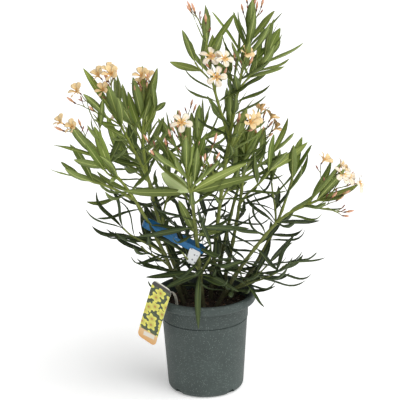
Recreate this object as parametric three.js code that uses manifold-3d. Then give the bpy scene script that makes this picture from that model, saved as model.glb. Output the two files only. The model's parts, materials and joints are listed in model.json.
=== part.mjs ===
// A young oleander in its round nursery pot, with the seller's picture tag and loop label.
// Millimetres, +Z up, origin at the middle of the pot's flat underside, front of the plant towards -Y.
// The pot, the compost, every stem, every bough and every mass of foliage is a solid of its own.

import * as THREE from 'three';
import { mergeVertices } from 'three/addons/utils/BufferGeometryUtils.js';
import Module from 'manifold-3d';

const wasm = await Module();
wasm.setup();

// ---- driving dimensions ----

const GAP = 0.35;

const POT_HEIGHT = 208;
const RIM_RADIUS = 105;
const RIM_HEIGHT = 18;
const RIM_TOP_WIDTH = 9;
const RIM_UPPER_ROUND = 5;
const RIM_LOWER_ROUND = 4;
const RIM_INNER_CHAMFER = 2;
const SHOULDER_RADIUS = 90;
const BAND_HEIGHT = 30;
const BAND_STEP = 1.2;
const BAND_INSET = 0.8;
const BASE_RADIUS = 78.5;
const FOOT_CORNER = 11;
const WALL = 3;
const POT_SIDES = 44;

const NOTCH_COUNT = 4;
const NOTCH_RADIUS = 9;
const NOTCH_LENGTH = 20;
const NOTCH_SIDES = 20;
const NOTCH_TURN = -48;

const SOIL_TOP = 184;

const STEM_RADIUS = 5.2;
const STEM_TIP_RADIUS = 3;
const ROOT_FLARE = 0.4;
const FLARE_FADE = 14;
const LIMB_SIDES = 8;
const LIMB_STEPS = 7;
const BOUGH_SHARE = 0.85;

const CLUMP_SIDES = 11;
const CLUMP_RINGS = 8;
const TIER_SWELL = 0.14;
const LOBE_SWELL = 0.13;
const LOBES = 3;
const TIER_LENGTH = 62;

const TAG_WIDTH = 46;
const TAG_LENGTH = 152;
const TAG_THICKNESS = 1.2;
const TAG_CORNER = 11;
const TAG_CHAMFER = 3;
const TAG_ROOM = 2;
const TAG_PLACE = [-102.3, -75, 188.6];
const TAG_TURN = [8.3, 22.4, -30.9];
const TONGUE_WIDTH = 8;
const TONGUE_THICKNESS = 1;
const TONGUE_START = [4, 36];
const TONGUE_STOPS = [[-70, -62, 230], [-59, -51, 214], [-56, -48, SOIL_TOP + 1]];

const STRAP_WIDTH = 12;
const STRAP_THICKNESS = 1;
const STRAP_ROOM = 14;
const STRAP_LEFT_HEIGHT = 364;
const STRAP_FRONT_HEIGHT = 322;
const HEAD_WIDTH = 22;
const HEAD_THICKNESS = 2;
const HEAD_LENGTH = 28;
const HEAD_DROP = 15;

// Stems: where the foot stands on the compost, where the tip is, and how soon the limb
// spreads sideways and rises on its way there (shares of the whole run at its bend).
const STEMS = {
  stem_left: { foot: [-42, -14], tip: [-222, -72, 551], spread: 0.35, rise: 0.6 },
  stem_upper_left: { foot: [-34, 16], tip: [-127, 30, 650], spread: 1.05, rise: 0.5 },
  stem_front: { foot: [-3, -38], tip: [-36, -118, 592], spread: 0.35, rise: 0.45 },
  stem_tall: { foot: [12, 6], tip: [108, 20, 785], spread: 0.25, rise: 0.5 },
  stem_right_middle: { foot: [34, 38], tip: [89, 50, 492], spread: 0.75, rise: 0.5 },
  stem_right_low: { foot: [25, -28], tip: [256, -92, 488], spread: 0.37, rise: 0.57 },
  stem_right_back: { foot: [54, 16], tip: [186, 66, 442], spread: 0.72, rise: 0.38 },
  stem_back: { foot: [-10, 44], tip: [-30, 142, 570], spread: 0.6, rise: 0.5 },
  stem_back_right: { foot: [22, 62], tip: [118, 190, 500], spread: 0.4, rise: 0.6 },
  stem_back_left: { foot: [-42, 52], tip: [-146, 178, 480], spread: 0.4, rise: 0.6 },
};

// Boughs fork from a stem at a height, and end at a tip of their own.
const BOUGHS = {
  bough_left: { parent: 'stem_left', fork: 418, tip: [-248, -56, 482], spread: 0.5, rise: 0.6 },
  bough_upper_left: {
    parent: 'stem_upper_left', fork: 440, tip: [-208, -36, 652], spread: 0.4, rise: 0.5,
  },
  bough_top_left: { parent: 'stem_tall', fork: 530, tip: [10, -12, 772], spread: 0.8, rise: 0.4 },
};

// Masses of foliage: the limb that ends in each one, its two ends, its radius across the limb
// and its thickness as a share of that.
const CLUMPS = {
  foliage_left: {
    limb: 'stem_left', from: [-143, -48, 428], to: [-266, -80, 592], radius: 58, flat: 0.75,
  },
  foliage_left_outer: {
    limb: 'bough_left', from: [-190, -52, 452], to: [-308, -56, 476], radius: 40, flat: 0.8,
  },
  foliage_left_low: { from: [-84, -26, 268], to: [-214, -54, 392], radius: 46, flat: 0.7 },
  foliage_upper_left: {
    limb: 'stem_upper_left', from: [-110, 28, 470], to: [-132, 30, 716], radius: 60, flat: 0.8,
  },
  foliage_upper_left_outer: {
    limb: 'bough_upper_left', from: [-146, -8, 545], to: [-244, -52, 684], radius: 54, flat: 0.7,
  },
  foliage_centre_left: { from: [-64, 26, 292], to: [-110, 34, 462], radius: 46, flat: 0.8 },
  foliage_front: {
    limb: 'stem_front', from: [-22, -84, 388], to: [-38, -124, 626], radius: 72, flat: 0.75,
  },
  foliage_front_low: { from: [-2, -54, 232], to: [-16, -78, 378], radius: 44, flat: 0.7 },
  foliage_centre: { from: [26, 12, 288], to: [50, 16, 560], radius: 60, flat: 0.8 },
  foliage_top: {
    limb: 'stem_tall', from: [60, 20, 586], to: [122, 20, 818], radius: 64, flat: 0.8,
  },
  foliage_top_left: {
    limb: 'bough_top_left', from: [28, -6, 598], to: [4, -14, 806], radius: 50, flat: 0.85,
  },
  foliage_right_middle: {
    limb: 'stem_right_middle', from: [78, 52, 372], to: [108, 46, 548], radius: 56, flat: 0.75,
  },
  foliage_right: {
    limb: 'stem_right_low', from: [150, -66, 362], to: [304, -98, 512], radius: 52, flat: 0.75,
  },
  foliage_right_low: { from: [74, -36, 262], to: [226, -30, 272], radius: 36, flat: 0.8 },
  foliage_right_back: {
    limb: 'stem_right_back', from: [126, 48, 300], to: [206, 76, 478], radius: 52, flat: 0.8,
  },
  foliage_back: {
    limb: 'stem_back', from: [-20, 96, 392], to: [-34, 160, 648], radius: 62, flat: 0.7,
  },
  foliage_back_right: {
    limb: 'stem_back_right', from: [74, 130, 372], to: [138, 222, 574], radius: 58, flat: 0.8,
  },
  foliage_back_left: {
    limb: 'stem_back_left', from: [-94, 120, 358], to: [-168, 210, 560], radius: 58, flat: 0.8,
  },
  foliage_back_low: { from: [-20, 74, 240], to: [12, 112, 362], radius: 42, flat: 0.7 },
};

// ---- materials ----

function finish(color, roughness) {
  return new THREE.MeshStandardMaterial({ color, roughness, metalness: 0 });
}

const POT_PLASTIC = finish(0x566260, 0.62);
const COMPOST = finish(0x2a211b, 0.95);
const STEM_BARK = finish(0x6d7536, 0.6);
const LEAF_YOUNG = finish(0x6f8242, 0.45);
const LEAF_OLD = finish(0x46582a, 0.5);
const TAG_CARD = finish(0xd8b25e, 0.35);
const TAG_TONGUE = finish(0xe8e6df, 0.4);
const STRAP_BLUE = finish(0x1d6fb8, 0.4);
const STRAP_WHITE = finish(0xeef0f0, 0.4);

// ---- solids ----

// A closed geometry of three.js, with its shared corners merged, as a solid that can be cut.
function solid(geometry) {
  const plain = geometry.clone();
  plain.deleteAttribute('normal');
  plain.deleteAttribute('uv');
  const merged = mergeVertices(plain, 1e-4);
  return new wasm.Manifold(new wasm.Mesh({
    numProp: 3,
    vertProperties: new Float32Array(merged.attributes.position.array),
    triVerts: new Uint32Array(merged.index.array),
  }));
}

function meshOf(name, body, material) {
  const mesh = body.getMesh();
  const geometry = new THREE.BufferGeometry();
  geometry.setAttribute('position', new THREE.BufferAttribute(mesh.vertProperties, 3));
  geometry.setIndex(new THREE.BufferAttribute(mesh.triVerts, 1));
  geometry.computeVertexNormals();
  const made = new THREE.Mesh(geometry, material);
  made.name = name;
  return made;
}

// The piece of a cut solid that scores highest, by default the one with the most volume.
function keepPiece(body, score = (piece) => piece.volume()) {
  const pieces = body.decompose();
  pieces.sort((a, b) => score(b) - score(a));
  return pieces[0];
}

function lowest(piece) {
  return -piece.boundingBox().min[2];
}

function degrees(angle) {
  return (angle * Math.PI) / 180;
}

// ---- pot and compost ----

function quarterRound(x, z, radius, start, end) {
  const points = [];
  for (let i = 0; i <= 4; i += 1) {
    const angle = degrees(start + ((end - start) * i) / 4);
    points.push(new THREE.Vector2(x + radius * Math.cos(angle), z + radius * Math.sin(angle)));
  }
  return points;
}

const shoulder = POT_HEIGHT - RIM_HEIGHT;
const bandFoot = shoulder - BAND_HEIGHT;

// Outer radius of the body below the band, at a height.
function bodyRadius(z) {
  const top = SHOULDER_RADIUS - BAND_STEP - BAND_INSET;
  return THREE.MathUtils.mapLinear(z, FOOT_CORNER, bandFoot, BASE_RADIUS, top);
}

function makePot() {
  const inside = RIM_RADIUS - RIM_TOP_WIDTH;
  const profile = [
    new THREE.Vector2(0, 0),
    ...quarterRound(BASE_RADIUS - FOOT_CORNER, FOOT_CORNER, FOOT_CORNER, -90, 0),
    new THREE.Vector2(bodyRadius(bandFoot), bandFoot),
    new THREE.Vector2(bodyRadius(bandFoot) + BAND_STEP, bandFoot + BAND_STEP),
    new THREE.Vector2(SHOULDER_RADIUS, shoulder),
    ...quarterRound(RIM_RADIUS - RIM_LOWER_ROUND, shoulder + RIM_LOWER_ROUND, RIM_LOWER_ROUND, -90, 0),
    ...quarterRound(RIM_RADIUS - RIM_UPPER_ROUND, POT_HEIGHT - RIM_UPPER_ROUND, RIM_UPPER_ROUND, 0, 90),
    new THREE.Vector2(inside + RIM_INNER_CHAMFER, POT_HEIGHT),
    new THREE.Vector2(inside, POT_HEIGHT - RIM_INNER_CHAMFER),
    new THREE.Vector2(SHOULDER_RADIUS - WALL, shoulder),
    new THREE.Vector2(bodyRadius(FOOT_CORNER) - WALL, FOOT_CORNER),
    new THREE.Vector2(BASE_RADIUS - FOOT_CORNER, WALL),
    new THREE.Vector2(0, WALL),
  ];
  let pot = solid(new THREE.LatheGeometry(profile, POT_SIDES).rotateX(Math.PI / 2));
  for (let i = 0; i < NOTCH_COUNT; i += 1) {
    const turn = degrees(NOTCH_TURN + (360 * i) / NOTCH_COUNT);
    const notch = new THREE.CylinderGeometry(NOTCH_RADIUS, NOTCH_RADIUS, NOTCH_LENGTH, NOTCH_SIDES);
    notch.translate(0, BASE_RADIUS, 0).rotateZ(turn);
    pot = pot.subtract(solid(notch));
  }
  return pot;
}

function makeCompost() {
  const clear = WALL + GAP;
  const topRadius = THREE.MathUtils.mapLinear(
    SOIL_TOP, FOOT_CORNER, shoulder, BASE_RADIUS - clear, SHOULDER_RADIUS - clear);
  const profile = [
    new THREE.Vector2(0, clear),
    new THREE.Vector2(BASE_RADIUS - FOOT_CORNER - GAP, clear),
    new THREE.Vector2(BASE_RADIUS - clear, FOOT_CORNER + GAP),
    new THREE.Vector2(topRadius - GAP, SOIL_TOP),
    new THREE.Vector2(0, SOIL_TOP),
  ];
  return solid(new THREE.LatheGeometry(profile, POT_SIDES).rotateX(Math.PI / 2));
}

// ---- limbs ----

// The line a limb follows: one bend between its foot and its tip.
function limbCurve(foot, { tip, spread, rise }) {
  const end = new THREE.Vector3(...tip);
  const bend = new THREE.Vector3(
    THREE.MathUtils.lerp(foot.x, end.x, spread),
    THREE.MathUtils.lerp(foot.y, end.y, spread),
    THREE.MathUtils.lerp(foot.z, end.z, rise));
  return new THREE.QuadraticBezierCurve3(foot, bend, end);
}

// The share of a curve's run at which it passes a height. Every limb only ever rises.
function shareAtHeight(curve, height) {
  let low = 0;
  let high = 1;
  for (let i = 0; i < 30; i += 1) {
    const middle = (low + high) / 2;
    if (curve.getPoint(middle).z < height) low = middle;
    else high = middle;
  }
  return low;
}

// A tapered limb along a curve. Its foot is a level cut, swollen by the root flare.
function limbSolid(curve, footRadius, tipRadius, flare, extra = 0) {
  const geometry = new THREE.CylinderGeometry(1, 1, 1, LIMB_SIDES, LIMB_STEPS);
  const place = geometry.attributes.position;
  const sideways = new THREE.Vector3(0, 1, 0);
  for (let i = 0; i < place.count; i += 1) {
    const share = THREE.MathUtils.clamp(place.getY(i) + 0.5, 0, 1);
    const along = curve.getTangent(share);
    const across = new THREE.Vector3().crossVectors(sideways, along).normalize();
    const back = new THREE.Vector3().crossVectors(along, across);
    const swell = 1 + flare * Math.exp(-FLARE_FADE * share);
    const radius = THREE.MathUtils.lerp(footRadius, tipRadius, share) * swell + extra;
    const point = curve.getPoint(share);
    point.addScaledVector(across, place.getX(i) * radius);
    point.addScaledVector(back, -place.getZ(i) * radius);
    if (flare > 0 && share === 0) point.z = curve.v0.z;
    place.setXYZ(i, point.x, point.y, point.z);
  }
  return solid(geometry);
}

const limbs = {};

for (const [name, spec] of Object.entries(STEMS)) {
  const curve = limbCurve(new THREE.Vector3(...spec.foot, SOIL_TOP + GAP), spec);
  limbs[name] = {
    curve,
    body: limbSolid(curve, STEM_RADIUS, STEM_TIP_RADIUS, ROOT_FLARE),
    room: limbSolid(curve, STEM_RADIUS, STEM_TIP_RADIUS, ROOT_FLARE, GAP),
  };
}

for (const [name, spec] of Object.entries(BOUGHS)) {
  const parent = limbs[spec.parent];
  const share = shareAtHeight(parent.curve, spec.fork);
  const thickness = THREE.MathUtils.lerp(STEM_RADIUS, STEM_TIP_RADIUS, share) * BOUGH_SHARE;
  const curve = limbCurve(parent.curve.getPoint(share), spec);
  limbs[name] = {
    curve,
    body: keepPiece(limbSolid(curve, thickness, STEM_TIP_RADIUS, 0).subtract(parent.room)),
    room: limbSolid(curve, thickness, STEM_TIP_RADIUS, 0, GAP),
  };
}

// ---- masses of foliage ----

// A closed, uneven mass about the line between its two ends. It swells and narrows in tiers,
// as the whorls of leaves do, and in lobes round the line that turn as it rises.
function clumpSolid({ from, to, radius, flat }, seed, extra = 0) {
  const start = new THREE.Vector3(...from);
  const end = new THREE.Vector3(...to);
  const along = new THREE.Vector3().subVectors(end, start);
  const tiers = along.length() / TIER_LENGTH;
  along.normalize();
  const across = new THREE.Vector3().crossVectors(new THREE.Vector3(0, 1, 0), along).normalize();
  const back = new THREE.Vector3().crossVectors(along, across);
  start.addScaledVector(along, -extra);
  end.addScaledVector(along, extra);
  const geometry = new THREE.SphereGeometry(1, CLUMP_SIDES, CLUMP_RINGS);
  const place = geometry.attributes.position;
  for (let i = 0; i < place.count; i += 1) {
    const share = (1 + place.getY(i)) / 2;
    const angle = Math.atan2(place.getZ(i), place.getX(i));
    const ring = Math.hypot(place.getX(i), place.getZ(i));
    const tier = 1 + TIER_SWELL * Math.cos(2 * Math.PI * tiers * share + seed);
    const lobe = 1 + LOBE_SWELL * Math.cos(LOBES * angle + 3 * share + 2 * seed);
    const reach = ring * (radius * tier * lobe + extra);
    const point = new THREE.Vector3().lerpVectors(start, end, share);
    point.addScaledVector(across, reach * Math.cos(angle));
    point.addScaledVector(back, -reach * flat * Math.sin(angle));
    place.setXYZ(i, point.x, point.y, point.z);
  }
  return solid(geometry);
}

// ---- picture tag ----

function tagMatrix() {
  const turn = new THREE.Euler(...TAG_TURN.map(degrees), 'ZYX');
  return new THREE.Matrix4().compose(
    new THREE.Vector3(...TAG_PLACE), new THREE.Quaternion().setFromEuler(turn), new THREE.Vector3(1, 1, 1));
}

function tagGeometry(extra = 0) {
  const x = TAG_WIDTH / 2 + extra;
  const z = TAG_LENGTH / 2 + extra;
  const outline = new THREE.Shape();
  outline.moveTo(-x, z - TAG_CORNER);
  outline.absarc(-x + TAG_CORNER, -z + TAG_CORNER, TAG_CORNER, Math.PI, 1.5 * Math.PI);
  outline.absarc(x - TAG_CORNER, -z + TAG_CORNER, TAG_CORNER, 1.5 * Math.PI, 2 * Math.PI);
  outline.lineTo(x, z - TAG_CHAMFER);
  outline.lineTo(x - TAG_CHAMFER, z);
  outline.lineTo(-x + TAG_CORNER, z);
  const depth = TAG_THICKNESS + 2 * extra;
  const geometry = new THREE.ExtrudeGeometry(outline, { depth, bevelEnabled: false, curveSegments: 6 });
  return geometry.translate(0, 0, -depth / 2).rotateX(Math.PI / 2).applyMatrix4(tagMatrix());
}

// The tag's tongue: a narrow strip from behind the card, over the rim and down to the compost.
function tongueGeometry() {
  const [across, up] = TONGUE_START;
  const start = new THREE.Vector3(across, TAG_THICKNESS / 2 + GAP, up).applyMatrix4(tagMatrix());
  const stops = TONGUE_STOPS.map((stop) => new THREE.Vector3(...stop));
  const path = new THREE.CatmullRomCurve3([start, ...stops]);
  const x = TONGUE_THICKNESS / 2;
  const y = TONGUE_WIDTH / 2;
  const section = new THREE.Shape();
  section.moveTo(-x, -y);
  section.lineTo(x, -y);
  section.lineTo(x, y);
  section.lineTo(-x, y);
  return new THREE.ExtrudeGeometry(section, { steps: 16, extrudePath: path });
}

// ---- loop label ----

// A band in the shape of a racetrack, drawn tight round two stems.
function strapFrame() {
  const left = limbs.stem_left.curve;
  const front = limbs.stem_front.curve;
  const start = left.getPoint(shareAtHeight(left, STRAP_LEFT_HEIGHT));
  const end = front.getPoint(shareAtHeight(front, STRAP_FRONT_HEIGHT));
  const along = new THREE.Vector3().subVectors(end, start);
  const length = along.length();
  along.normalize();
  const towardsFront = new THREE.Vector3(along.y, -along.x, 0).normalize();
  const upright = new THREE.Vector3().crossVectors(along, towardsFront).negate();
  const basis = new THREE.Matrix4().makeBasis(along, towardsFront.clone().negate(), upright);
  return { length, basis: basis.setPosition(start) };
}

function racetrack(outline, length, radius) {
  outline.absarc(0, 0, radius, 0.5 * Math.PI, 1.5 * Math.PI);
  outline.absarc(length, 0, radius, -0.5 * Math.PI, 0.5 * Math.PI);
  return outline;
}

function strapGeometry(hollow, extra = 0) {
  const { length, basis } = strapFrame();
  const outline = racetrack(new THREE.Shape(), length, STRAP_ROOM + extra);
  if (hollow) outline.holes.push(racetrack(new THREE.Path(), length, STRAP_ROOM - STRAP_THICKNESS));
  const depth = STRAP_WIDTH + 2 * extra;
  const geometry = new THREE.ExtrudeGeometry(outline, { depth, bevelEnabled: false, curveSegments: 8 });
  return geometry.translate(0, 0, -depth / 2).applyMatrix4(basis);
}

// The white head of the loop label hangs in front of the strap where its ends meet.
function strapHeadGeometry(extra = 0) {
  const { length, basis } = strapFrame();
  const head = new THREE.BoxGeometry(
    HEAD_WIDTH + 2 * extra, HEAD_THICKNESS + 2 * extra, HEAD_LENGTH + 2 * extra);
  head.translate(length, -STRAP_ROOM - GAP - HEAD_THICKNESS / 2, -HEAD_DROP);
  return head.applyMatrix4(basis);
}

// ---- assembly ----

const group = new THREE.Group();

const clumpNames = Object.keys(CLUMPS);
const clumps = clumpNames.map((name, index) => ({
  name,
  limb: CLUMPS[name].limb,
  body: clumpSolid(CLUMPS[name], index + 1),
  room: clumpSolid(CLUMPS[name], index + 1, GAP),
}));

const labelRoom = [
  solid(tagGeometry(TAG_ROOM)),
  solid(strapGeometry(false, GAP)),
  solid(strapHeadGeometry(GAP)),
];

// A limb ends where it enters its own mass of foliage.
for (const clump of clumps) {
  if (clump.limb) {
    const limb = limbs[clump.limb];
    limb.body = keepPiece(limb.body.subtract(clump.room), lowest);
  }
}

// Every mass is cut round the limbs that pass through it and round the masses before it.
clumps.forEach((clump, index) => {
  for (const [name, limb] of Object.entries(limbs)) {
    if (name !== clump.limb) clump.body = clump.body.subtract(limb.room);
  }
  for (const before of clumps.slice(0, index)) {
    clump.body = clump.body.subtract(before.room);
  }
  for (const room of labelRoom) {
    clump.body = clump.body.subtract(room);
  }
  clump.body = keepPiece(clump.body);
});

group.add(meshOf('pot', makePot(), POT_PLASTIC));
group.add(meshOf('compost', makeCompost(), COMPOST));
for (const [name, limb] of Object.entries(limbs)) {
  group.add(meshOf(name, limb.body, STEM_BARK));
}
for (const clump of clumps) {
  group.add(meshOf(clump.name, clump.body, clump.limb ? LEAF_YOUNG : LEAF_OLD));
}
group.add(meshOf('picture_tag', solid(tagGeometry()), TAG_CARD));
const tongue = solid(tongueGeometry()).subtract(solid(tagGeometry(GAP)));
group.add(meshOf('tag_tongue', keepPiece(tongue), TAG_TONGUE));
group.add(meshOf('loop_strap', solid(strapGeometry(true)), STRAP_BLUE));
group.add(meshOf('loop_head', solid(strapHeadGeometry()), STRAP_WHITE));

export default group;
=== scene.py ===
# %% [markdown]
# # A young oleander in its nursery pot
# The object is a shrub of many thin stems that lean out of a round plastic pot. The frame that
# comes from the CAD work holds the pot, the stems and one plain solid for each mass of foliage.
# Here the plain solids are replaced by shoots, leaves, blossom and buds that grow on from the
# stems. Everything is in metres, and the plant's front looks towards -Y.

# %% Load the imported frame
import json
import math
import random

import bpy
import numpy as np
from mathutils import Matrix, Vector
from mathutils.bvhtree import BVHTree
from mathutils.kdtree import KDTree

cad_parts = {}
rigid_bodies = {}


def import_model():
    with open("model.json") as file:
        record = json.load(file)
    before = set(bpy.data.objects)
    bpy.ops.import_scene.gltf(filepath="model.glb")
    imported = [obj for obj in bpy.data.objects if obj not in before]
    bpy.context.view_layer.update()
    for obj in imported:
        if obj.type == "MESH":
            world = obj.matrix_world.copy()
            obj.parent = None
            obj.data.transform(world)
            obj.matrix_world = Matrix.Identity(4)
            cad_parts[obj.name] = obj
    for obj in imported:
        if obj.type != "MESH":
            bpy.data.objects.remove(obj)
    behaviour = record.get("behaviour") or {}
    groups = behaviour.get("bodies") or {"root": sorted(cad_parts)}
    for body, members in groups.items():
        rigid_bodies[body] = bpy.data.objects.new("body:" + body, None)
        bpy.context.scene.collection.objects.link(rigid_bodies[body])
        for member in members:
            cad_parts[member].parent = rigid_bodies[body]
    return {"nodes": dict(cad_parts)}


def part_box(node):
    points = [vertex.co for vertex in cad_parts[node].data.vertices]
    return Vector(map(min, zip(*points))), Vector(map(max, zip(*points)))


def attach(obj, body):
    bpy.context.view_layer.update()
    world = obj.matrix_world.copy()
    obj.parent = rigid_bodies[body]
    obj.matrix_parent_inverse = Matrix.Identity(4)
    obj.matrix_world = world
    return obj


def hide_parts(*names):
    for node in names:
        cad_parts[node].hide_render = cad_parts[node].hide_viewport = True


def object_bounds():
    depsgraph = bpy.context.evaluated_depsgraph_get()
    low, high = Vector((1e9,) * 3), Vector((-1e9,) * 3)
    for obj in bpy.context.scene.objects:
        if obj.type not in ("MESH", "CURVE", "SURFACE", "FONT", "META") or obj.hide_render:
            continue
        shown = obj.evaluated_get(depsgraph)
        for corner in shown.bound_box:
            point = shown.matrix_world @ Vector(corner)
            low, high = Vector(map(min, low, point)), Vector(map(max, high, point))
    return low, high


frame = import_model()
cad_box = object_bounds()
BODY = "root"
MM = 0.001
UP = Vector((0, 0, 1))
dice = random.Random(41)
print("frame:", len(frame["nodes"]), "nodes, box", [tuple(round(c, 3) for c in p) for p in cad_box])

# %% [markdown]
# ## Helpers for meshes
# Leaves and petals come in hundreds. One object for each would be slow and heavy, so each kind
# is gathered into one mesh: a pile keeps points and faces in plain lists, and becomes an object
# once, at the end. The object stays at the origin, and its place is in its points.


# %% A pile of small shapes that becomes one mesh
class Pile:
    def __init__(self):
        self.points = []
        self.faces = []
        self.slots = []

    def add(self, points, faces, slots):
        start = len(self.points)
        self.points.extend(points)
        self.faces.extend([tuple(start + i for i in face) for face in faces])
        self.slots.extend(slots)


def clothe(piece, materials):
    for material in materials:
        piece.data.materials.append(material)
    return piece


def placed_object(name, mesh):
    piece = bpy.data.objects.new(name, mesh)
    bpy.context.scene.collection.objects.link(piece)
    return piece


def mesh_object(name, points, faces):
    mesh = bpy.data.meshes.new(name)
    mesh.from_pydata([tuple(p) for p in points], [], faces)
    mesh.polygons.foreach_set("use_smooth", [True] * len(mesh.polygons))
    mesh.update()
    return placed_object(name, mesh)


def store(mesh, label, numbers, domain="POINT"):
    """Puts one number on each point or face, for a node tree to read."""
    mesh.attributes.new(label, "FLOAT", domain).data.foreach_set("value", numbers)


def pile_object(name, pile, materials):
    piece = clothe(mesh_object(name, pile.points, pile.faces), materials)
    piece.data.polygons.foreach_set("material_index", pile.slots)
    print(name + ":", len(pile.faces), "faces")
    return piece


def finish_piece(piece, slot, *nodes):
    """Every piece rides on the one body and stands for its CAD nodes. The slot is not used."""
    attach(piece, BODY)
    if nodes:
        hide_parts(*nodes)
    return piece


# %% Sharp edges stay sharp, and all others are shaded smooth
SHARP_ANGLE = math.radians(38)


def shade_by_angle(piece):
    mesh = piece.data
    mesh.polygons.foreach_set("use_smooth", [True] * len(mesh.polygons))
    sides = {}
    for face in mesh.polygons:
        for key in face.edge_keys:
            sides.setdefault(key, []).append(face.normal)
    for edge in mesh.edges:
        normals = sides.get(tuple(sorted(edge.vertices)), [])
        edge.use_edge_sharp = len(normals) == 2 and normals[0].angle(normals[1], 0) > SHARP_ANGLE
    mesh.update()


# %% [markdown]
# ## Helpers for node trees
# Materials and Geometry Nodes are both trees of nodes. One function adds a node, sets its
# inputs and links it, so that a tree reads as a list of steps.


# %% Add a node to a tree
def put(tree, kind, inputs=None, **settings):
    node = tree.nodes.new(kind)
    for name, value in settings.items():
        setattr(node, name, value)
    for name, value in (inputs or {}).items():
        socket = node.inputs[name]
        if isinstance(value, bpy.types.NodeSocket):
            tree.links.new(value, socket)
        else:
            socket.default_value = value
    return node


def group_tree(name, kind, inputs, outputs):
    """An empty node group with named inputs and outputs: (name, socket type, default)."""
    tree = bpy.data.node_groups.new(name, kind)
    for label, socket_type, default in inputs:
        socket = tree.interface.new_socket(name=label, in_out="INPUT", socket_type=socket_type)
        if default is not None:
            socket.default_value = default
    for label, socket_type in outputs:
        tree.interface.new_socket(name=label, in_out="OUTPUT", socket_type=socket_type)
    return tree, tree.nodes.new("NodeGroupInput"), tree.nodes.new("NodeGroupOutput")


def math_node(tree, operation, *values):
    return put(tree, "ShaderNodeMath", dict(enumerate(values)), operation=operation).outputs[0]


def stored(tree, label, kind="FLOAT"):
    """Reads what is stored on the points or faces under this label."""
    return put(tree, "GeometryNodeInputNamedAttribute", {"Name": label},
               data_type=kind).outputs["Attribute"]


def mix_colours(tree, share, first, second):
    """The first colour at share 0, the second at 1."""
    node = put(tree, "ShaderNodeMix", data_type="RGBA")
    for index, value in ((0, share), (6, first), (7, second)):
        if isinstance(value, bpy.types.NodeSocket):
            tree.links.new(value, node.inputs[index])
        else:
            node.inputs[index].default_value = value
    return node.outputs[2]


# %% [markdown]
# ## Shared effects
# Three effects turn up on many surfaces. Mottle drifts a colour lighter and darker in soft
# patches, as on plastic and bark. Specks scatter small grains of a second colour, as in recycled
# plastic and in compost. Grain gives a fine relief. Each is a group, built once, and placed in
# every material that needs it with that material's own values.

# %% Mottle, specks and grain
COLOUR = "NodeSocketColor"
NUMBER = "NodeSocketFloat"
VECTOR = "NodeSocketVector"


def make_mottle():
    tree, given, result = group_tree(
        "mottle", "ShaderNodeTree",
        [("Vector", VECTOR, None), ("Colour", COLOUR, None), ("Size", NUMBER, 0.02),
         ("Strength", NUMBER, 0.2)],
        [("Colour", COLOUR), ("Mask", NUMBER)])
    scale = math_node(tree, "DIVIDE", 1.0, given.outputs["Size"])
    noise = put(tree, "ShaderNodeTexNoise",
                {"Vector": given.outputs["Vector"], "Scale": scale, "Detail": 3.0})
    drift = math_node(tree, "SUBTRACT", noise.outputs["Fac"], 0.5)
    amount = math_node(tree, "MULTIPLY", drift, given.outputs["Strength"])
    gain = math_node(tree, "MULTIPLY_ADD", amount, 4.0, 1.0)
    shaded = put(tree, "ShaderNodeVectorMath",
                 {0: given.outputs["Colour"], "Scale": gain}, operation="SCALE")
    tree.links.new(shaded.outputs[0], result.inputs["Colour"])
    tree.links.new(noise.outputs["Fac"], result.inputs["Mask"])
    return tree


def make_specks():
    tree, given, result = group_tree(
        "specks", "ShaderNodeTree",
        [("Vector", VECTOR, None), ("Colour", COLOUR, None), ("Speck", COLOUR, None),
         ("Size", NUMBER, 0.002), ("Share", NUMBER, 0.2)],
        [("Colour", COLOUR)])
    scale = math_node(tree, "DIVIDE", 1.0, given.outputs["Size"])
    cells = put(tree, "ShaderNodeTexVoronoi",
                {"Vector": given.outputs["Vector"], "Scale": scale, "Randomness": 1.0})
    shades = put(tree, "ShaderNodeSeparateColor", {"Color": cells.outputs["Color"]})
    chosen = math_node(tree, "LESS_THAN", shades.outputs["Red"], given.outputs["Share"])
    near = put(tree, "ShaderNodeMapRange",
               {"Value": cells.outputs["Distance"], "From Min": 0.5, "From Max": 0.2})
    mask = math_node(tree, "MULTIPLY", chosen, near.outputs["Result"])
    mixed = mix_colours(tree, mask, given.outputs["Colour"], given.outputs["Speck"])
    tree.links.new(mixed, result.inputs["Colour"])
    return tree


def make_grain():
    tree, given, result = group_tree(
        "grain", "ShaderNodeTree",
        [("Vector", VECTOR, None), ("Size", NUMBER, 0.001), ("Depth", NUMBER, 0.0002)],
        [("Normal", VECTOR)])
    scale = math_node(tree, "DIVIDE", 1.0, given.outputs["Size"])
    noise = put(tree, "ShaderNodeTexNoise",
                {"Vector": given.outputs["Vector"], "Scale": scale, "Detail": 4.0})
    bump = put(tree, "ShaderNodeBump",
               {"Height": noise.outputs["Fac"], "Distance": given.outputs["Depth"],
                "Strength": 1.0})
    tree.links.new(bump.outputs["Normal"], result.inputs["Normal"])
    return tree


MOTTLE = make_mottle()
SPECKS = make_specks()
GRAIN = make_grain()


# %% Start a material
def shade(red, green, blue):
    """A colour as the eye reads it, 0 to 255, in the linear values that a shader wants."""
    def linear(value):
        part = value / 255
        return part / 12.92 if part <= 0.04045 else ((part + 0.055) / 1.055) ** 2.4
    return (linear(red), linear(green), linear(blue), 1.0)


def new_material(name, roughness, **values):
    """A material with its tree, its Principled shader and its Object coordinates."""
    material = bpy.data.materials.new(name)
    material.use_nodes = True
    tree = material.node_tree
    shader = tree.nodes["Principled BSDF"]
    shader.inputs["Roughness"].default_value = roughness
    for label, value in values.items():
        shader.inputs[label.replace("_", " ")].default_value = value
    place = put(tree, "ShaderNodeTexCoord").outputs["Object"]
    return material, tree, shader, place


def use(tree, group, **inputs):
    """Places a shared effect in a material with that material's own values."""
    named = {name.replace("_", " "): value for name, value in inputs.items()}
    return put(tree, "ShaderNodeGroup", named, node_tree=group)


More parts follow.
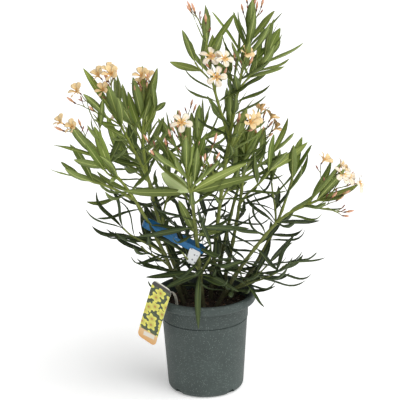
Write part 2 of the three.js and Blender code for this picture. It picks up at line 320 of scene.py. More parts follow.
def drive(tree, shader, **sockets):
    """Links each socket to the shader's input of that name."""
    for label, socket in sockets.items():
        tree.links.new(socket, shader.inputs[label.replace("_", " ")])


# %% [markdown]
# ## The pot
# A nursery pot is moulded in recycled plastic: a tapering wall, a plain band below a rolled rim,
# and a foot with arched notches that let water out. It is a round thing, so one outline spun
# about the axis gives the whole wall, and a boolean cuts the notches. The outline is worked out
# from the pot's box in the frame. The spin has far more sides than the CAD pot, so it is round.

# %% Outline of the pot
pot_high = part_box("pot")[1]
POT_HEIGHT = pot_high.z
RIM_RADIUS = pot_high.x
RIM_HEIGHT = 18 * MM
RIM_WIDTH = 9 * MM
RIM_UNDER_ROUND = 4 * MM
RIM_OUTER_ROUND = 6 * MM
RIM_INNER_ROUND = 2 * MM
SHOULDER = POT_HEIGHT - RIM_HEIGHT
SHOULDER_RADIUS = RIM_RADIUS - 15 * MM
BAND_FOOT = SHOULDER - 34 * MM
GROOVE = 1.3 * MM
BAND_STEP = 1.2 * MM
BAND_NICK = 0.8 * MM
FOOT_CORNER = 11 * MM
FOOT_RADIUS = RIM_RADIUS - 26.5 * MM
FOOT_FLAT = FOOT_RADIUS - FOOT_CORNER
WALL = 3 * MM


def arc(x, z, radius, start, end, steps=6):
    """Points on a round corner, with angles in degrees from +X."""
    angles = [math.radians(start + (end - start) * i / steps) for i in range(steps + 1)]
    return [(x + radius * math.cos(a), z + radius * math.sin(a)) for a in angles]


def wall_radius(z):
    """Outer radius of the wall below the band."""
    top = SHOULDER_RADIUS - BAND_STEP - BAND_NICK
    return FOOT_RADIUS + (top - FOOT_RADIUS) * (z - FOOT_CORNER) / (BAND_FOOT - FOOT_CORNER)


def pot_outline():
    """From the middle of the underside, up the outside, over the rim and down the inside."""
    band = wall_radius(BAND_FOOT)
    inside = RIM_RADIUS - RIM_WIDTH
    wall = [(wall_radius(z), z) for z in np.linspace(FOOT_CORNER, BAND_FOOT, 9)[1:-1]]
    return [
        (0, 0),
        (FOOT_RADIUS - FOOT_CORNER - 10 * MM, 0),
        *arc(FOOT_FLAT, FOOT_CORNER, FOOT_CORNER, -90, 0, 8),
        *wall,
        (band, BAND_FOOT - 2.6 * MM),
        (band - GROOVE, BAND_FOOT - 2 * MM),
        (band - GROOVE, BAND_FOOT - 0.4 * MM),
        (band + BAND_STEP, BAND_FOOT + 0.6 * MM),
        (band + BAND_STEP, BAND_FOOT + 2 * MM),
        (SHOULDER_RADIUS, SHOULDER - 2 * MM),
        (SHOULDER_RADIUS - GROOVE, SHOULDER - 1.2 * MM),
        (SHOULDER_RADIUS - GROOVE, SHOULDER),
        *arc(RIM_RADIUS - RIM_UNDER_ROUND, SHOULDER + RIM_UNDER_ROUND, RIM_UNDER_ROUND, -90, 0),
        *arc(RIM_RADIUS - RIM_OUTER_ROUND, POT_HEIGHT - RIM_OUTER_ROUND, RIM_OUTER_ROUND, 12, 90),
        *arc(inside + RIM_INNER_ROUND, POT_HEIGHT - RIM_INNER_ROUND, RIM_INNER_ROUND, 90, 170, 4),
        (SHOULDER_RADIUS - WALL + 2 * MM, SHOULDER + 3 * MM),
        (SHOULDER_RADIUS - WALL, SHOULDER - 2 * MM),
        (wall_radius(FOOT_CORNER) - WALL, FOOT_CORNER),
        (FOOT_FLAT, WALL),
        (0, WALL),
    ]


# %% Spin an outline about the axis
POT_SIDES = 144


def spin(outline, sides=POT_SIDES):
    """Points and outward faces of a closed outline that starts and ends on the axis."""
    points = [Vector((0, 0, outline[0][1]))]
    for radius, z in outline[1:-1]:
        for i in range(sides):
            turn = math.tau * i / sides
            points.append(Vector((radius * math.cos(turn), radius * math.sin(turn), z)))
    points.append(Vector((0, 0, outline[-1][1])))
    rings = len(outline) - 2
    faces = []
    for i in range(sides):
        after = (i + 1) % sides
        faces.append((0, 1 + after, 1 + i))
        for ring in range(rings - 1):
            low = 1 + ring * sides
            high = low + sides
            faces.append((low + i, low + after, high + after, high + i))
        last = 1 + (rings - 1) * sides
        faces.append((len(points) - 1, last + i, last + after))
    return points, faces


# %% Cut the drain notches
NOTCH_COUNT = 4
NOTCH_RADIUS = 11 * MM
NOTCH_REACH = 10 * MM
NOTCH_SIDES = 24
NOTCH_TURN = math.radians(-48)


def notch_cutters():
    """Round bars that lie flat on the ground and point at the pot's axis."""
    pile = Pile()
    sides = NOTCH_SIDES
    rim = [(NOTCH_RADIUS * math.cos(math.tau * i / sides),
            NOTCH_RADIUS * math.sin(math.tau * i / sides)) for i in range(sides)]
    for n in range(NOTCH_COUNT):
        turn = Matrix.Rotation(NOTCH_TURN + math.tau * n / NOTCH_COUNT, 3, "Z")
        near = [turn @ Vector((x, FOOT_RADIUS - NOTCH_REACH, z)) for x, z in rim]
        far = [turn @ Vector((x, FOOT_RADIUS + NOTCH_REACH, z)) for x, z in rim]
        walls = [(i, sides + i, sides + (i + 1) % sides, (i + 1) % sides) for i in range(sides)]
        ends = [tuple(range(sides)), tuple(reversed(range(sides, 2 * sides)))]
        pile.add(near + far, walls + ends, [0] * (sides + 2))
    return mesh_object("notch_cutters", pile.points, pile.faces)


def bake_modifiers(piece):
    """Turns what the modifiers show into a plain mesh, and removes them."""
    shown = piece.evaluated_get(bpy.context.evaluated_depsgraph_get())
    mesh = bpy.data.meshes.new_from_object(shown)
    piece.modifiers.clear()
    piece.data = mesh
    return piece


pot = mesh_object("pot_shell", *spin(pot_outline()))
cutters = notch_cutters()
cut = pot.modifiers.new("notches", "BOOLEAN")
cut.operation = "DIFFERENCE"
cut.solver = "EXACT"
cut.object = cutters
bake_modifiers(pot)
bpy.data.objects.remove(cutters)
shade_by_angle(pot)
print("pot:", len(pot.data.polygons), "faces, rim", round(2 * RIM_RADIUS, 3), "m across")

# %% [markdown]
# The plastic is a matte grey-green. Recycled feedstock leaves fine pale and dark grains in it,
# the colour drifts a little from place to place, and handling polishes and scuffs the wall. The
# shared effects do this on Object coordinates, so no seam shows round the pot.

# %% Pot plastic
pot_plastic, tree, shader, place = new_material("pot_plastic", 0.6)
base = use(tree, MOTTLE, Vector=place, Colour=shade(61, 72, 69), Size=0.045, Strength=0.16)
dark = use(tree, SPECKS, Vector=place, Colour=base.outputs["Colour"], Speck=shade(58, 68, 64),
           Size=0.0026, Share=0.3)
pale = use(tree, SPECKS, Vector=place, Colour=dark.outputs["Colour"], Speck=shade(110, 122, 116),
           Size=0.002, Share=0.22)
scuffs = use(tree, MOTTLE, Vector=place, Colour=(0.5, 0.5, 0.5, 1), Size=0.012, Strength=0.2)
rough = put(tree, "ShaderNodeMapRange",
            {"Value": scuffs.outputs["Mask"], "To Min": 0.48, "To Max": 0.72})
relief = use(tree, GRAIN, Vector=place, Size=0.0016, Depth=0.00018)
drive(tree, shader, Base_Color=pale.outputs["Colour"], Roughness=rough.outputs["Result"],
      Normal=relief.outputs["Normal"])
clothe(pot, [pot_plastic])
finish_piece(pot, "pot_plastic", "pot")

# %% [markdown]
# ## The compost
# Potting compost is dark, damp and crumbly, with flakes of bark and a few pale grains. The bed
# is one closed mesh with an uneven top. The flakes lie on it by the hundred, so Geometry Nodes
# scatter them: points on the top, one flake on each, turned and sized at random from a seed.

# %% The bed of compost
soil_low, soil_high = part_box("compost")
SOIL_TOP = soil_high.z
SOIL_RADIUS = soil_high.x - 0.5 * MM


def soil_height(x, y):
    """Gentle lumps, lower towards the pot's wall."""
    lumps = 1.6 * math.sin(x * 95 + 1.1) * math.cos(y * 80) + 1.1 * math.sin(x * 210 + y * 170)
    fall = 3.2 * (math.hypot(x, y) / SOIL_RADIUS) ** 3
    return SOIL_TOP + (lumps - fall + 0.6) * MM


def compost_outline():
    top = [(r, SOIL_TOP) for r in np.linspace(SOIL_RADIUS, 0, 26)[1:]]
    return [(0, soil_low.z), (FOOT_FLAT - 1 * MM, soil_low.z),
            (FOOT_RADIUS - WALL - 1 * MM, FOOT_CORNER + 1 * MM),
            (SOIL_RADIUS - 0.5 * MM, SOIL_TOP - 8 * MM), (SOIL_RADIUS, SOIL_TOP)] + top


points, faces = spin(compost_outline(), 96)
for point in points:
    if point.z > SOIL_TOP - 1 * MM:
        point.z = soil_height(point.x, point.y)
compost = mesh_object("compost_bed", points, faces)


# %% One flake of bark
def flake(name, length, width, thickness, seed):
    """A ball of few faces pressed flat and knocked out of shape."""
    knocks = random.Random(seed)
    bpy.ops.mesh.primitive_ico_sphere_add(subdivisions=2, radius=1)
    piece = bpy.context.object
    piece.name = name
    for vertex in piece.data.vertices:
        dent = 1 + knocks.uniform(-0.28, 0.22)
        x, y, z = vertex.co * dent
        square = 1 - 0.25 * abs(x * y)
        vertex.co = (x * length * square, y * width, max(-0.6, min(0.6, z)) * thickness)
    return piece


# %% Geometry Nodes: scatter one kind of flake
def make_scatter():
    tree, given, result = group_tree(
        "scatter_on_top", "GeometryNodeTree",
        [("Ground", "NodeSocketGeometry", None), ("Flake", "NodeSocketObject", None),
         ("Per square metre", NUMBER, 20000.0), ("Smallest", NUMBER, 0.5),
         ("Largest", NUMBER, 1.2), ("Seed", "NodeSocketInt", 1),
         ("Material", "NodeSocketMaterial", None)],
        [("Flakes", "NodeSocketGeometry")])
    facing = put(tree, "ShaderNodeSeparateXYZ", {0: put(tree, "GeometryNodeInputNormal").outputs[0]})
    position = put(tree, "ShaderNodeSeparateXYZ",
                   {0: put(tree, "GeometryNodeInputPosition").outputs[0]})
    high = math_node(tree, "GREATER_THAN", position.outputs["Z"], SOIL_TOP - 7 * MM)
    upward = math_node(tree, "GREATER_THAN", facing.outputs["Z"], 0.5)
    top = math_node(tree, "MULTIPLY", high, upward)
    spots = put(tree, "GeometryNodeDistributePointsOnFaces",
                {"Mesh": given.outputs["Ground"], "Selection": top,
                 "Density": given.outputs["Per square metre"], "Seed": given.outputs["Seed"]})
    shape = put(tree, "GeometryNodeObjectInfo", {"Object": given.outputs["Flake"]})
    turn = put(tree, "FunctionNodeRandomValue",
               {0: (-0.5, -0.5, 0.0), 1: (0.5, 0.5, math.tau), "Seed": given.outputs["Seed"]},
               data_type="FLOAT_VECTOR")
    size = put(tree, "FunctionNodeRandomValue",
               {2: given.outputs["Smallest"], 3: given.outputs["Largest"],
                "Seed": given.outputs["Seed"]}, data_type="FLOAT")
    copies = put(tree, "GeometryNodeInstanceOnPoints",
                 {"Points": spots.outputs["Points"], "Instance": shape.outputs["Geometry"],
                  "Rotation": turn.outputs[0], "Scale": size.outputs[1]})
    real = put(tree, "GeometryNodeRealizeInstances", {0: copies.outputs[0]})
    painted = put(tree, "GeometryNodeSetMaterial",
                  {"Geometry": real.outputs[0], "Material": given.outputs["Material"]})
    tree.links.new(painted.outputs[0], result.inputs["Flakes"])
    return tree


def run_tree(piece, tree, **inputs):
    """Gives the piece a Geometry Nodes modifier with these inputs, and bakes what it makes."""
    modifier = piece.modifiers.new(tree.name, "NODES")
    modifier.node_group = tree
    sockets = {item.name: item.identifier for item in tree.interface.items_tree
               if item.item_type == "SOCKET" and item.in_out == "INPUT"}
    for name, value in inputs.items():
        modifier[sockets[name.replace("_", " ")]] = value
    return bake_modifiers(piece)


SCATTER = make_scatter()


# %% Compost materials
def crumb_material(name, colour, speck, share):
    material, tree, shader, place = new_material(name, 0.92)
    base = use(tree, MOTTLE, Vector=place, Colour=colour, Size=0.006, Strength=0.5)
    mixed = use(tree, SPECKS, Vector=place, Colour=base.outputs["Colour"], Speck=speck,
                Size=0.0022, Share=share)
    relief = use(tree, GRAIN, Vector=place, Size=0.0012, Depth=0.0008)
    drive(tree, shader, Base_Color=mixed.outputs["Colour"], Normal=relief.outputs["Normal"])
    return material


damp_compost = crumb_material("damp_compost", shade(44, 35, 28), shade(84, 62, 44), 0.25)
dark_bark = crumb_material("dark_bark", shade(58, 44, 34), shade(26, 21, 18), 0.3)
red_bark = crumb_material("red_bark", shade(108, 78, 54), shade(60, 44, 33), 0.3)
pale_grain = crumb_material("pale_grain", shade(176, 168, 150), shade(120, 110, 96), 0.3)

# %% Scatter the flakes
# Each kind: material, half length, width and thickness in millimetres, count on a square metre,
# smallest and largest scale, and seed.
FLAKES = {
    "bark_dark": (dark_bark, (4.6, 2.8, 1.9), 36000, 0.35, 1.25, 11),
    "bark_red": (red_bark, (6.0, 2.6, 1.5), 5200, 0.4, 1.2, 23),
    "grains_pale": (pale_grain, (1.7, 1.5, 1.4), 2600, 0.5, 1.1, 37),
}

for name, (material, size, density, smallest, largest, seed) in FLAKES.items():
    pattern = flake(name + "_pattern", *(side * MM for side in size), seed)
    scattered = placed_object(name, compost.data.copy())
    run_tree(scattered, SCATTER, Flake=pattern, Per_square_metre=float(density),
             Smallest=smallest, Largest=largest, Seed=seed, Material=material)
    bpy.data.objects.remove(pattern)
    finish_piece(scattered, "compost")
    print(name + ":", len(scattered.data.polygons), "faces")

clothe(compost, [damp_compost])
finish_piece(compost, "compost", "compost")

# %% [markdown]
# ## The stems, read from the frame
# The stems and boughs stand where the CAD limbs stand. Each CAD limb is sliced at a few heights,
# and the middles of the slices give the line that the bark follows. From its cut end, where it
# enters its mass of foliage, the limb grows on to the tips that this mass holds.


# %% The middle line of a CAD limb
def middle_at(mesh, height):
    """Middle of a limb's section at a height, from the edges that cross it."""
    crossings = []
    for edge in mesh.edges:
        a, b = (mesh.vertices[i].co for i in edge.vertices)
        if (a.z - height) * (b.z - height) < 0:
            crossings.append(a.lerp(b, (height - a.z) / (b.z - a.z)))
    low = Vector([min(p[i] for p in crossings) for i in range(3)])
    high = Vector([max(p[i] for p in crossings) for i in range(3)])
    return (low + high) / 2


SLICES = 7
BELOW_CUT_END = 14 * MM
# How far above its foot a limb is first sliced, and how far the line then goes on below that
# slice: into the compost for a stem, into the parent stem for a bough.
STEM_FOOT = (1 * MM, 4 * MM)
BOUGH_FOOT = (12 * MM, 16 * MM)


def limb_line(name):
    """Points up a limb, from its foot to just below its cut end."""
    mesh = frame["nodes"][name].data
    low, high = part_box(name)
    first_slice, foot_run = STEM_FOOT if name.startswith("stem") else BOUGH_FOOT
    top = high.z - BELOW_CUT_END
    bottom = low.z + first_slice
    line = [middle_at(mesh, bottom + (top - bottom) * i / (SLICES - 1)) for i in range(SLICES)]
    foot = line[0] + (line[0] - line[1]).normalized() * foot_run
    return [foot] + line


# %% Smooth lines through points
def smooth_line(stops, spacing=5 * MM):
    """A curve through all the stops (Catmull-Rom), as points a few millimetres apart."""
    ends = [stops[0] * 2 - stops[1], *stops, stops[-1] * 2 - stops[-2]]
    line = []
    for a, b, c, d in zip(ends, ends[1:], ends[2:], ends[3:]):
        steps = max(2, round((c - b).length / spacing))
        for i in range(steps):
            t = i / steps
            line.append(0.5 * (2 * b + (c - a) * t + (2 * a - 5 * b + 4 * c - d) * t * t
                               + (3 * b - a - 3 * c + d) * t * t * t))
    return line + [stops[-1]]


def reach(start, heading, tip, rise=0.25, stops=5):
    """Stops on a bow from start, leaving along heading and arriving at the tip while rising."""
    span = (tip - start).length
    near = start + heading.normalized() * span * 0.4
    arrive = ((tip - start).normalized() + UP * rise).normalized()
    far = tip - arrive * span * 0.35
    bow = []
    for i in range(1, stops + 1):
        t = i / stops
        s = 1 - t
        bow.append(s ** 3 * start + 3 * s * s * t * near + 3 * s * t * t * far + t ** 3 * tip)
    return bow


def heading_at(line, index):
    """Direction in which a line runs at one of its points."""
    after = min(index + 1, len(line) - 1)
    before = max(after - 2, 0)
    return (line[after] - line[before]).normalized()


# %% [markdown]
# ## Where each limb grows on to
# For each mass of foliage this table says which limb fills it and where the shoots in it end.
# A tip is given as shares of the mass's own box, across, back and up, so it moves with the mass.
# The last word says what the tip carries: leaves only, closed buds, or open blossom.

# %% Tips of the shoots
# The number after each limb is the spacing of its whorls: small is crowded.
LEADERS = {
    "foliage_left": ("stem_left", 1.25, [
        (0.34, 0.38, 0.76, "pair"), (0.55, 0.75, 0.80, "leaves"), (0.62, 0.20, 0.42, "leaves")]),
    "foliage_left_outer": ("bough_left", 1.1, [(0.66, 0.42, 0.62, "leaves")]),
    "foliage_upper_left": ("stem_upper_left", 1.3, [
        (0.56, 0.54, 0.60, "few"), (0.74, 0.46, 0.46, "leaves"), (0.28, 0.85, 0.42, "leaves")]),
    "foliage_upper_left_outer": ("bough_upper_left", 1.2, [
        (0.62, 0.45, 0.66, "many"), (0.36, 0.30, 0.46, "one"), (0.72, 0.86, 0.35, "leaves")]),
    "foliage_front": ("stem_front", 1.1, [
        (0.50, 0.38, 0.70, "bright"), (0.27, 0.35, 0.60, "shut"), (0.78, 0.45, 0.52, "buds")]),
    "foliage_top": ("stem_tall", 0.7, [
        (0.60, 0.53, 0.77, "crest"), (0.44, 0.30, 0.34, "one"), (0.84, 0.50, 0.46, "leaves"),
        (0.30, 0.55, 0.30, "leaves")]),
    "foliage_top_left": ("bough_top_left", 0.9, [
        (0.43, 0.46, 0.76, "crest"), (0.66, 0.18, 0.33, "cream"), (0.25, 0.66, 0.42, "leaves")]),
    "foliage_right_middle": ("stem_right_middle", 1.2, [
        (0.42, 0.51, 0.78, "leaves"), (0.78, 0.35, 0.44, "leaves")]),
    "foliage_right": ("stem_right_low", 1.0, [
        (0.72, 0.39, 0.58, "cream"), (0.56, 0.44, 0.66, "pair"), (0.62, 0.41, 0.34, "buds")]),
    "foliage_right_back": ("stem_right_back", 1.2, [
        (0.62, 0.54, 0.70, "leaves"), (0.30, 0.75, 0.62, "leaves")]),
    "foliage_back": ("stem_back", 1.1, [
        (0.43, 0.68, 0.50, "buds"), (0.70, 0.45, 0.50, "leaves"), (0.20, 0.50, 0.40, "leaves")]),
    "foliage_back_right": ("stem_back_right", 1.1, [
        (0.66, 0.68, 0.56, "few"), (0.35, 0.55, 0.50, "leaves"), (0.80, 0.30, 0.42, "leaves")]),
    "foliage_back_left": ("stem_back_left", 1.1, [
        (0.30, 0.68, 0.76, "cream"), (0.62, 0.45, 0.68, "leaves"), (0.22, 0.30, 0.45, "leaves")]),
}

SIDE_SHOOTS = {
    "foliage_left_low": ("stem_left", 1.0, [
        (0.42, 0.42, 0.72, "leaves"), (0.66, 0.60, 0.40, "leaves")]),
    "foliage_centre_left": ("stem_upper_left", 1.2, [(0.66, 0.80, 0.74, "leaves")]),
    "foliage_front_low": ("stem_front", 1.0, [
        (0.74, 0.14, 0.62, "leaves"), (0.12, 0.28, 0.60, "leaves")]),
    "foliage_centre": ("stem_tall", 0.95, [
        (0.84, 0.18, 0.95, "pair"), (0.08, 0.40, 0.86, "leaves"), (0.80, 0.80, 0.62, "leaves"),
        (0.66, 0.70, 1.0, "leaves")]),
    "foliage_right_low": ("stem_right_low", 1.0, [
        (0.62, 0.52, 0.56, "leaves"), (0.36, 0.90, 0.42, "leaves")]),
    "foliage_back_low": ("stem_back", 1.0, [
        (0.60, 0.80, 0.70, "leaves"), (0.15, 0.60, 0.50, "leaves")]),
}

# Each kind of tip: open flowers, closed buds, the flowers' tint, and the bare stalk below them.
BLOOMS = {
    "leaves": (0, 0, "cream", 3 * MM), "buds": (0, 8, "apricot", 62 * MM),
    "one": (1, 4, "apricot", 46 * MM), "pair": (2, 4, "apricot", 54 * MM),
    "few": (3, 9, "apricot", 60 * MM), "many": (4, 11, "apricot", 58 * MM),
    "cream": (3, 6, "cream", 56 * MM), "bright": (1, 9, "cream", 62 * MM),
    "crest": (0, 9, "apricot", 30 * MM), "shut": (0, 5, "apricot", 44 * MM),
}

# %% Grow the lines
FORK_ANGLE = math.radians(30)
# Share of each kind of line that is bare below its first leaves.
BARE_SHARE = {"stem": 0.09, "bough": 0.12, "twig": 0.16}
# Shares of a limb above which the shoots at its tip and the side shoots lower down fork off.
TIP_FORKS = 0.45
SIDE_FORKS = 0.08
lines = []


def add_line(kind, points, bloom, spacing, parent=None):
    """bloom is what the tip carries. parent is the line that it forks from and the fork's index."""
    lines.append({"kind": kind, "points": points, "bloom": bloom, "spacing": spacing,
                  "parent": parent})
    return lines[-1]


def tip_in(mass, shares):
    """The point at these shares of a mass's box."""
    low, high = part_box(mass)
    return Vector([low[i] + (high[i] - low[i]) * shares[i] for i in range(3)])


def fork_place(line, tip, first):
    """Index on a line, above its first share, from which a shoot reaches the tip at a natural
    angle."""
    def misfit(index):
        towards = tip - line[index]
        return abs(heading_at(line, index).angle(towards) - FORK_ANGLE) + towards.length
    return min(range(int(len(line) * first), len(line) - 2), key=misfit)


def grow_side(parent, tip, bloom, spacing, first):
    line = parent["points"]
    start = fork_place(line, tip, first)
    away = heading_at(line, start).lerp((tip - line[start]).normalized(), 0.6)
    stops = [line[start], *reach(line[start], away, tip, rise=0.45)]
    add_line("twig", smooth_line(stops), bloom, spacing, (parent, start))


limb_lines = {}
for mass, (limb, spacing, tips) in LEADERS.items():
    stops = limb_line(limb)
    heading = stops[-1] - stops[-2]
    stops += reach(stops[-1], heading, tip_in(mass, tips[0][:3]))
    kind = "stem" if limb.startswith("stem") else "bough"
    leader = add_line(kind, smooth_line(stops), tips[0][3], spacing)
    limb_lines[limb] = leader
    for *shares, bloom in tips[1:]:
        grow_side(leader, tip_in(mass, shares), bloom, spacing, TIP_FORKS)

for mass, (limb, spacing, tips) in SIDE_SHOOTS.items():
    for *shares, bloom in tips:
        grow_side(limb_lines[limb], tip_in(mass, shares), bloom, spacing, SIDE_FORKS)

print("lines:", len(lines), "with", sum(len(line["points"]) for line in lines), "points")

# %% [markdown]
# ## Nodes on the shoots
# Oleander carries its leaves in whorls of three, each whorl turned against the one below. The
# whorls stand close at a young tip and wide apart on older wood, where some leaves have dropped
# and left a small swelling. Youth runs from nearly 0 low down, in the shade of the crown, to 1 at
# the tip of a high shoot, and sets the leaf's size, colour and lean.

# %% Find the whorls on each line
WIDE_GAP = 37 * MM
NARROW_GAP = 25 * MM
DARK_HEIGHT = 360 * MM
BRIGHT_HEIGHT = 470 * MM
YOUNG_LENGTH = {"stem": 190 * MM, "bough": 160 * MM, "twig": 130 * MM}
LEAST_LIGHT = 0.1
LEAST_YOUTH_IN_LIGHT = 0.42


def place_whorls(line):
    """Walks a line from its tip down, so that the close whorls sit at the young end."""
    points = line["points"]
    runs = [0.0]
    for a, b in zip(points, points[1:]):
        runs.append(runs[-1] + (b - a).length)
    line["runs"] = runs
    whorls = []
    stalk = BLOOMS[line["bloom"]][3]
    from_leaves = 0.0
    turn = dice.uniform(0, math.tau)
    while stalk + from_leaves < runs[-1] * (1 - BARE_SHARE[line["kind"]]):
        index = min(int(np.searchsorted(runs, runs[-1] - stalk - from_leaves)), len(points) - 1)
        # Light falls off down into the crown. Through youth it also gives the low leaves darker
        # tints, so part of their darkness is painted shade.
        light = (points[index].z - DARK_HEIGHT) / (BRIGHT_HEIGHT - DARK_HEIGHT)
        light = max(LEAST_LIGHT, min(1.0, light))
        near_tip = max(0.0, 1 - from_leaves / YOUNG_LENGTH[line["kind"]])
        youth = max(LEAST_YOUTH_IN_LIGHT, near_tip) * light
        whorls.append({"at": points[index], "axis": heading_at(points, index), "youth": youth,
                       "upright": max(near_tip, youth),
                       "turn": turn, "run": runs[index], "bud": line["bloom"] == "leaves"})
        turn += math.pi / 3 + dice.uniform(-0.15, 0.15)
        gap = WIDE_GAP + (NARROW_GAP - WIDE_GAP) * max(youth, 0.6 * near_tip)
        crowding = line["spacing"] if light > 0.5 else 1.0
        from_leaves += gap * crowding * dice.uniform(0.85, 1.15)
    return whorls


for line in lines:
    line["whorls"] = place_whorls(line)
print("whorls:", sum(len(line["whorls"]) for line in lines))

# %% [markdown]
# ## Bark
# The bark is one closed tube along each line. Curves with a round bevel could do it, but bark
# also swells at its whorls and changes with age. So Geometry Nodes sweep a ring along all lines
# at once: the thickness, the swellings and the age are stored on the points, the ring follows the
# thickness, and a noise pushes the skin in and out for its relief.

# %% Lines as a wire with values on its points
# Thickness is the radius at the foot and at the tip.
THICKNESS = {"stem": (4.5 * MM, 2.4 * MM), "bough": (3.2 * MM, 2.2 * MM),
             "twig": (2.4 * MM, 1.7 * MM)}
STALK_THICK = 1.4 * MM
STALK_TAPER = 16 * MM
FORK_SHARE = 0.78
TIP_SHARE = 0.9
FLARE = 0.3
FLARE_RUN = 14 * MM
SWELL_REACH = 5 * MM
WOODY_HEIGHT = 260 * MM
FORK_RUN = 12 * MM


def thickness_at(line, run):
    """Radius of a shoot at a run along it: a flared foot, a taper, and a thin flower stalk. A
    side shoot is thinner than the limb that it forks from."""
    foot, tip = THICKNESS[line["kind"]]
    if line["parent"]:
        parent, fork = line["parent"]
        foot = min(foot, FORK_SHARE * parent["thickness"][fork])
        tip = min(tip, TIP_SHARE * foot)
    total = line["runs"][-1]
    leafy = total - BLOOMS[line["bloom"]][3]
    if run > leafy:
        return tip + (STALK_THICK - tip) * min(1.0, (run - leafy) / STALK_TAPER)
    flare = FLARE * math.exp(-run / FLARE_RUN) if line["kind"] == "stem" else 0.0
    return (foot + (tip - foot) * (run / leafy)) * (1 + flare)


def wire_object(name, chosen):
    """chosen holds for each wire its points, and thickness, swelling and age at each point."""
    mesh = bpy.data.meshes.new(name)
    points, edges = [], []
    values = {"thickness": [], "swelling": [], "age": []}
    for wire in chosen:
        start = len(points)
        points += [tuple(point) for point in wire["points"]]
        edges += [(start + i, start + i + 1) for i in range(len(wire["points"]) - 1)]
        for label in values:
            values[label] += wire[label]
    mesh.from_pydata(points, edges, [])
    for label, numbers in values.items():
        store(mesh, label, numbers)
    return placed_object(name, mesh)


for line in lines:
    line["thickness"] = [thickness_at(line, run) for run in line["runs"]]
    line["swelling"] = []
    for run in line["runs"]:
        nearest = min([abs(run - whorl["run"]) for whorl in line["whorls"]], default=1)
        line["swelling"].append(math.exp(-(nearest / SWELL_REACH) ** 2) if run > FORK_RUN else 0.0)
    line["age"] = [max(0.0, 1 - (point.z - SOIL_TOP) / WOODY_HEIGHT) for point in line["points"]]


# %% Geometry Nodes: bark along a wire
def make_bark_sweep():
    tree, given, result = group_tree(
        "bark_along_wire", "GeometryNodeTree",
        [("Wire", "NodeSocketGeometry", None), ("Sides", "NodeSocketInt", 10),
         ("Node swelling", NUMBER, 0.3), ("Relief", NUMBER, 0.0003),
         ("Relief size", NUMBER, 0.004), ("Material", "NodeSocketMaterial", None)],
        [("Bark", "NodeSocketGeometry")])
    swollen = math_node(tree, "MULTIPLY_ADD", stored(tree, "swelling"),
                        given.outputs["Node swelling"], 1.0)
    radius = math_node(tree, "MULTIPLY", stored(tree, "thickness"), swollen)
    curve = put(tree, "GeometryNodeMeshToCurve", {"Mesh": given.outputs["Wire"]})
    ring = put(tree, "GeometryNodeCurvePrimitiveCircle",
               {"Resolution": given.outputs["Sides"], "Radius": 1.0})
    swept = put(tree, "GeometryNodeCurveToMesh",
                {"Curve": curve.outputs[0], "Profile Curve": ring.outputs[0], "Scale": radius,
                 "Fill Caps": True})
    scale = math_node(tree, "DIVIDE", 1.0, given.outputs["Relief size"])
    noise = put(tree, "ShaderNodeTexNoise", {"Scale": scale, "Detail": 3.0})
    height = math_node(tree, "SUBTRACT", noise.outputs["Fac"], 0.5)
    depth = math_node(tree, "MULTIPLY", height, given.outputs["Relief"])
    outward = put(tree, "GeometryNodeInputNormal").outputs[0]
    push = put(tree, "ShaderNodeVectorMath", {0: outward, "Scale": depth}, operation="SCALE")
    moved = put(tree, "GeometryNodeSetPosition",
                {"Geometry": swept.outputs[0], "Offset": push.outputs[0]})
    smooth = put(tree, "GeometryNodeSetShadeSmooth", {"Geometry": moved.outputs[0]})
    real = put(tree, "GeometryNodeRealizeInstances", {0: smooth.outputs[0]})
    painted = put(tree, "GeometryNodeSetMaterial",
                  {"Geometry": real.outputs[0], "Material": given.outputs["Material"]})
    tree.links.new(painted.outputs[0], result.inputs["Bark"])
    return tree


BARK_SWEEP = make_bark_sweep()

# %% [markdown]
# Young oleander bark is smooth and yellow-green. Towards the soil it turns olive, then grey-brown
# with small pale pores. The age stored on the points blends the two, and specks make the pores.


# %% Bark materials
def bark_material(name, young, old):
    material, tree, shader, place = new_material(name, 0.5)
    age = put(tree, "ShaderNodeAttribute", attribute_name="age").outputs["Fac"]
    aged = mix_colours(tree, age, young, old)
    drift = use(tree, MOTTLE, Vector=place, Colour=aged, Size=0.008, Strength=0.3)
    pores = use(tree, SPECKS, Vector=place, Colour=drift.outputs["Colour"],
                Speck=shade(140, 138, 104), Size=0.0022, Share=0.08)
    rough = put(tree, "ShaderNodeMapRange", {"Value": age, "To Min": 0.42, "To Max": 0.8})
    relief = use(tree, GRAIN, Vector=place, Size=0.0011, Depth=0.0003)
    drive(tree, shader, Base_Color=pores.outputs["Colour"], Roughness=rough.outputs["Result"],
          Normal=relief.outputs["Normal"])
    return material


stem_bark = bark_material("stem_bark", shade(138, 150, 64), shade(62, 58, 40))
shoot_bark = bark_material("shoot_bark", shade(148, 160, 74), shade(72, 76, 42))

STEM_NODES, BOUGH_NODES, FOLIAGE_NODES = (
    [name for name in frame["nodes"] if name.startswith(start)]
    for start in ("stem", "bough", "foliage"))

for kind, name, material, nodes in (
        ("stem", "stems", stem_bark, STEM_NODES), ("bough", "boughs", stem_bark, BOUGH_NODES),
        ("twig", "twigs", shoot_bark, [])):
    wood = wire_object(name, [line for line in lines if line["kind"] == kind])
    run_tree(wood, BARK_SWEEP, Sides=12 if kind == "stem" else 8, Material=material)
    finish_piece(wood, "stem_bark", *nodes)
    print(name + ":", len(wood.data.polygons), "faces")

# %% [markdown]
# ## Blades
# A leaf, a petal and a sepal are all blades: an outline drawn out along a middle line. One
# function makes them all. The upper side has five strips, so that the pale midrib can have a
# colour of its own. Three strips close the underside, which shows the midrib too, so the blade is
# a thin closed solid.


# %% One blade along a bent middle line
RIB_SHARE = 0.12
STRIPS = ("top", "top", "rib", "top", "top", "under", "rib", "under")
SECTION = len(STRIPS)


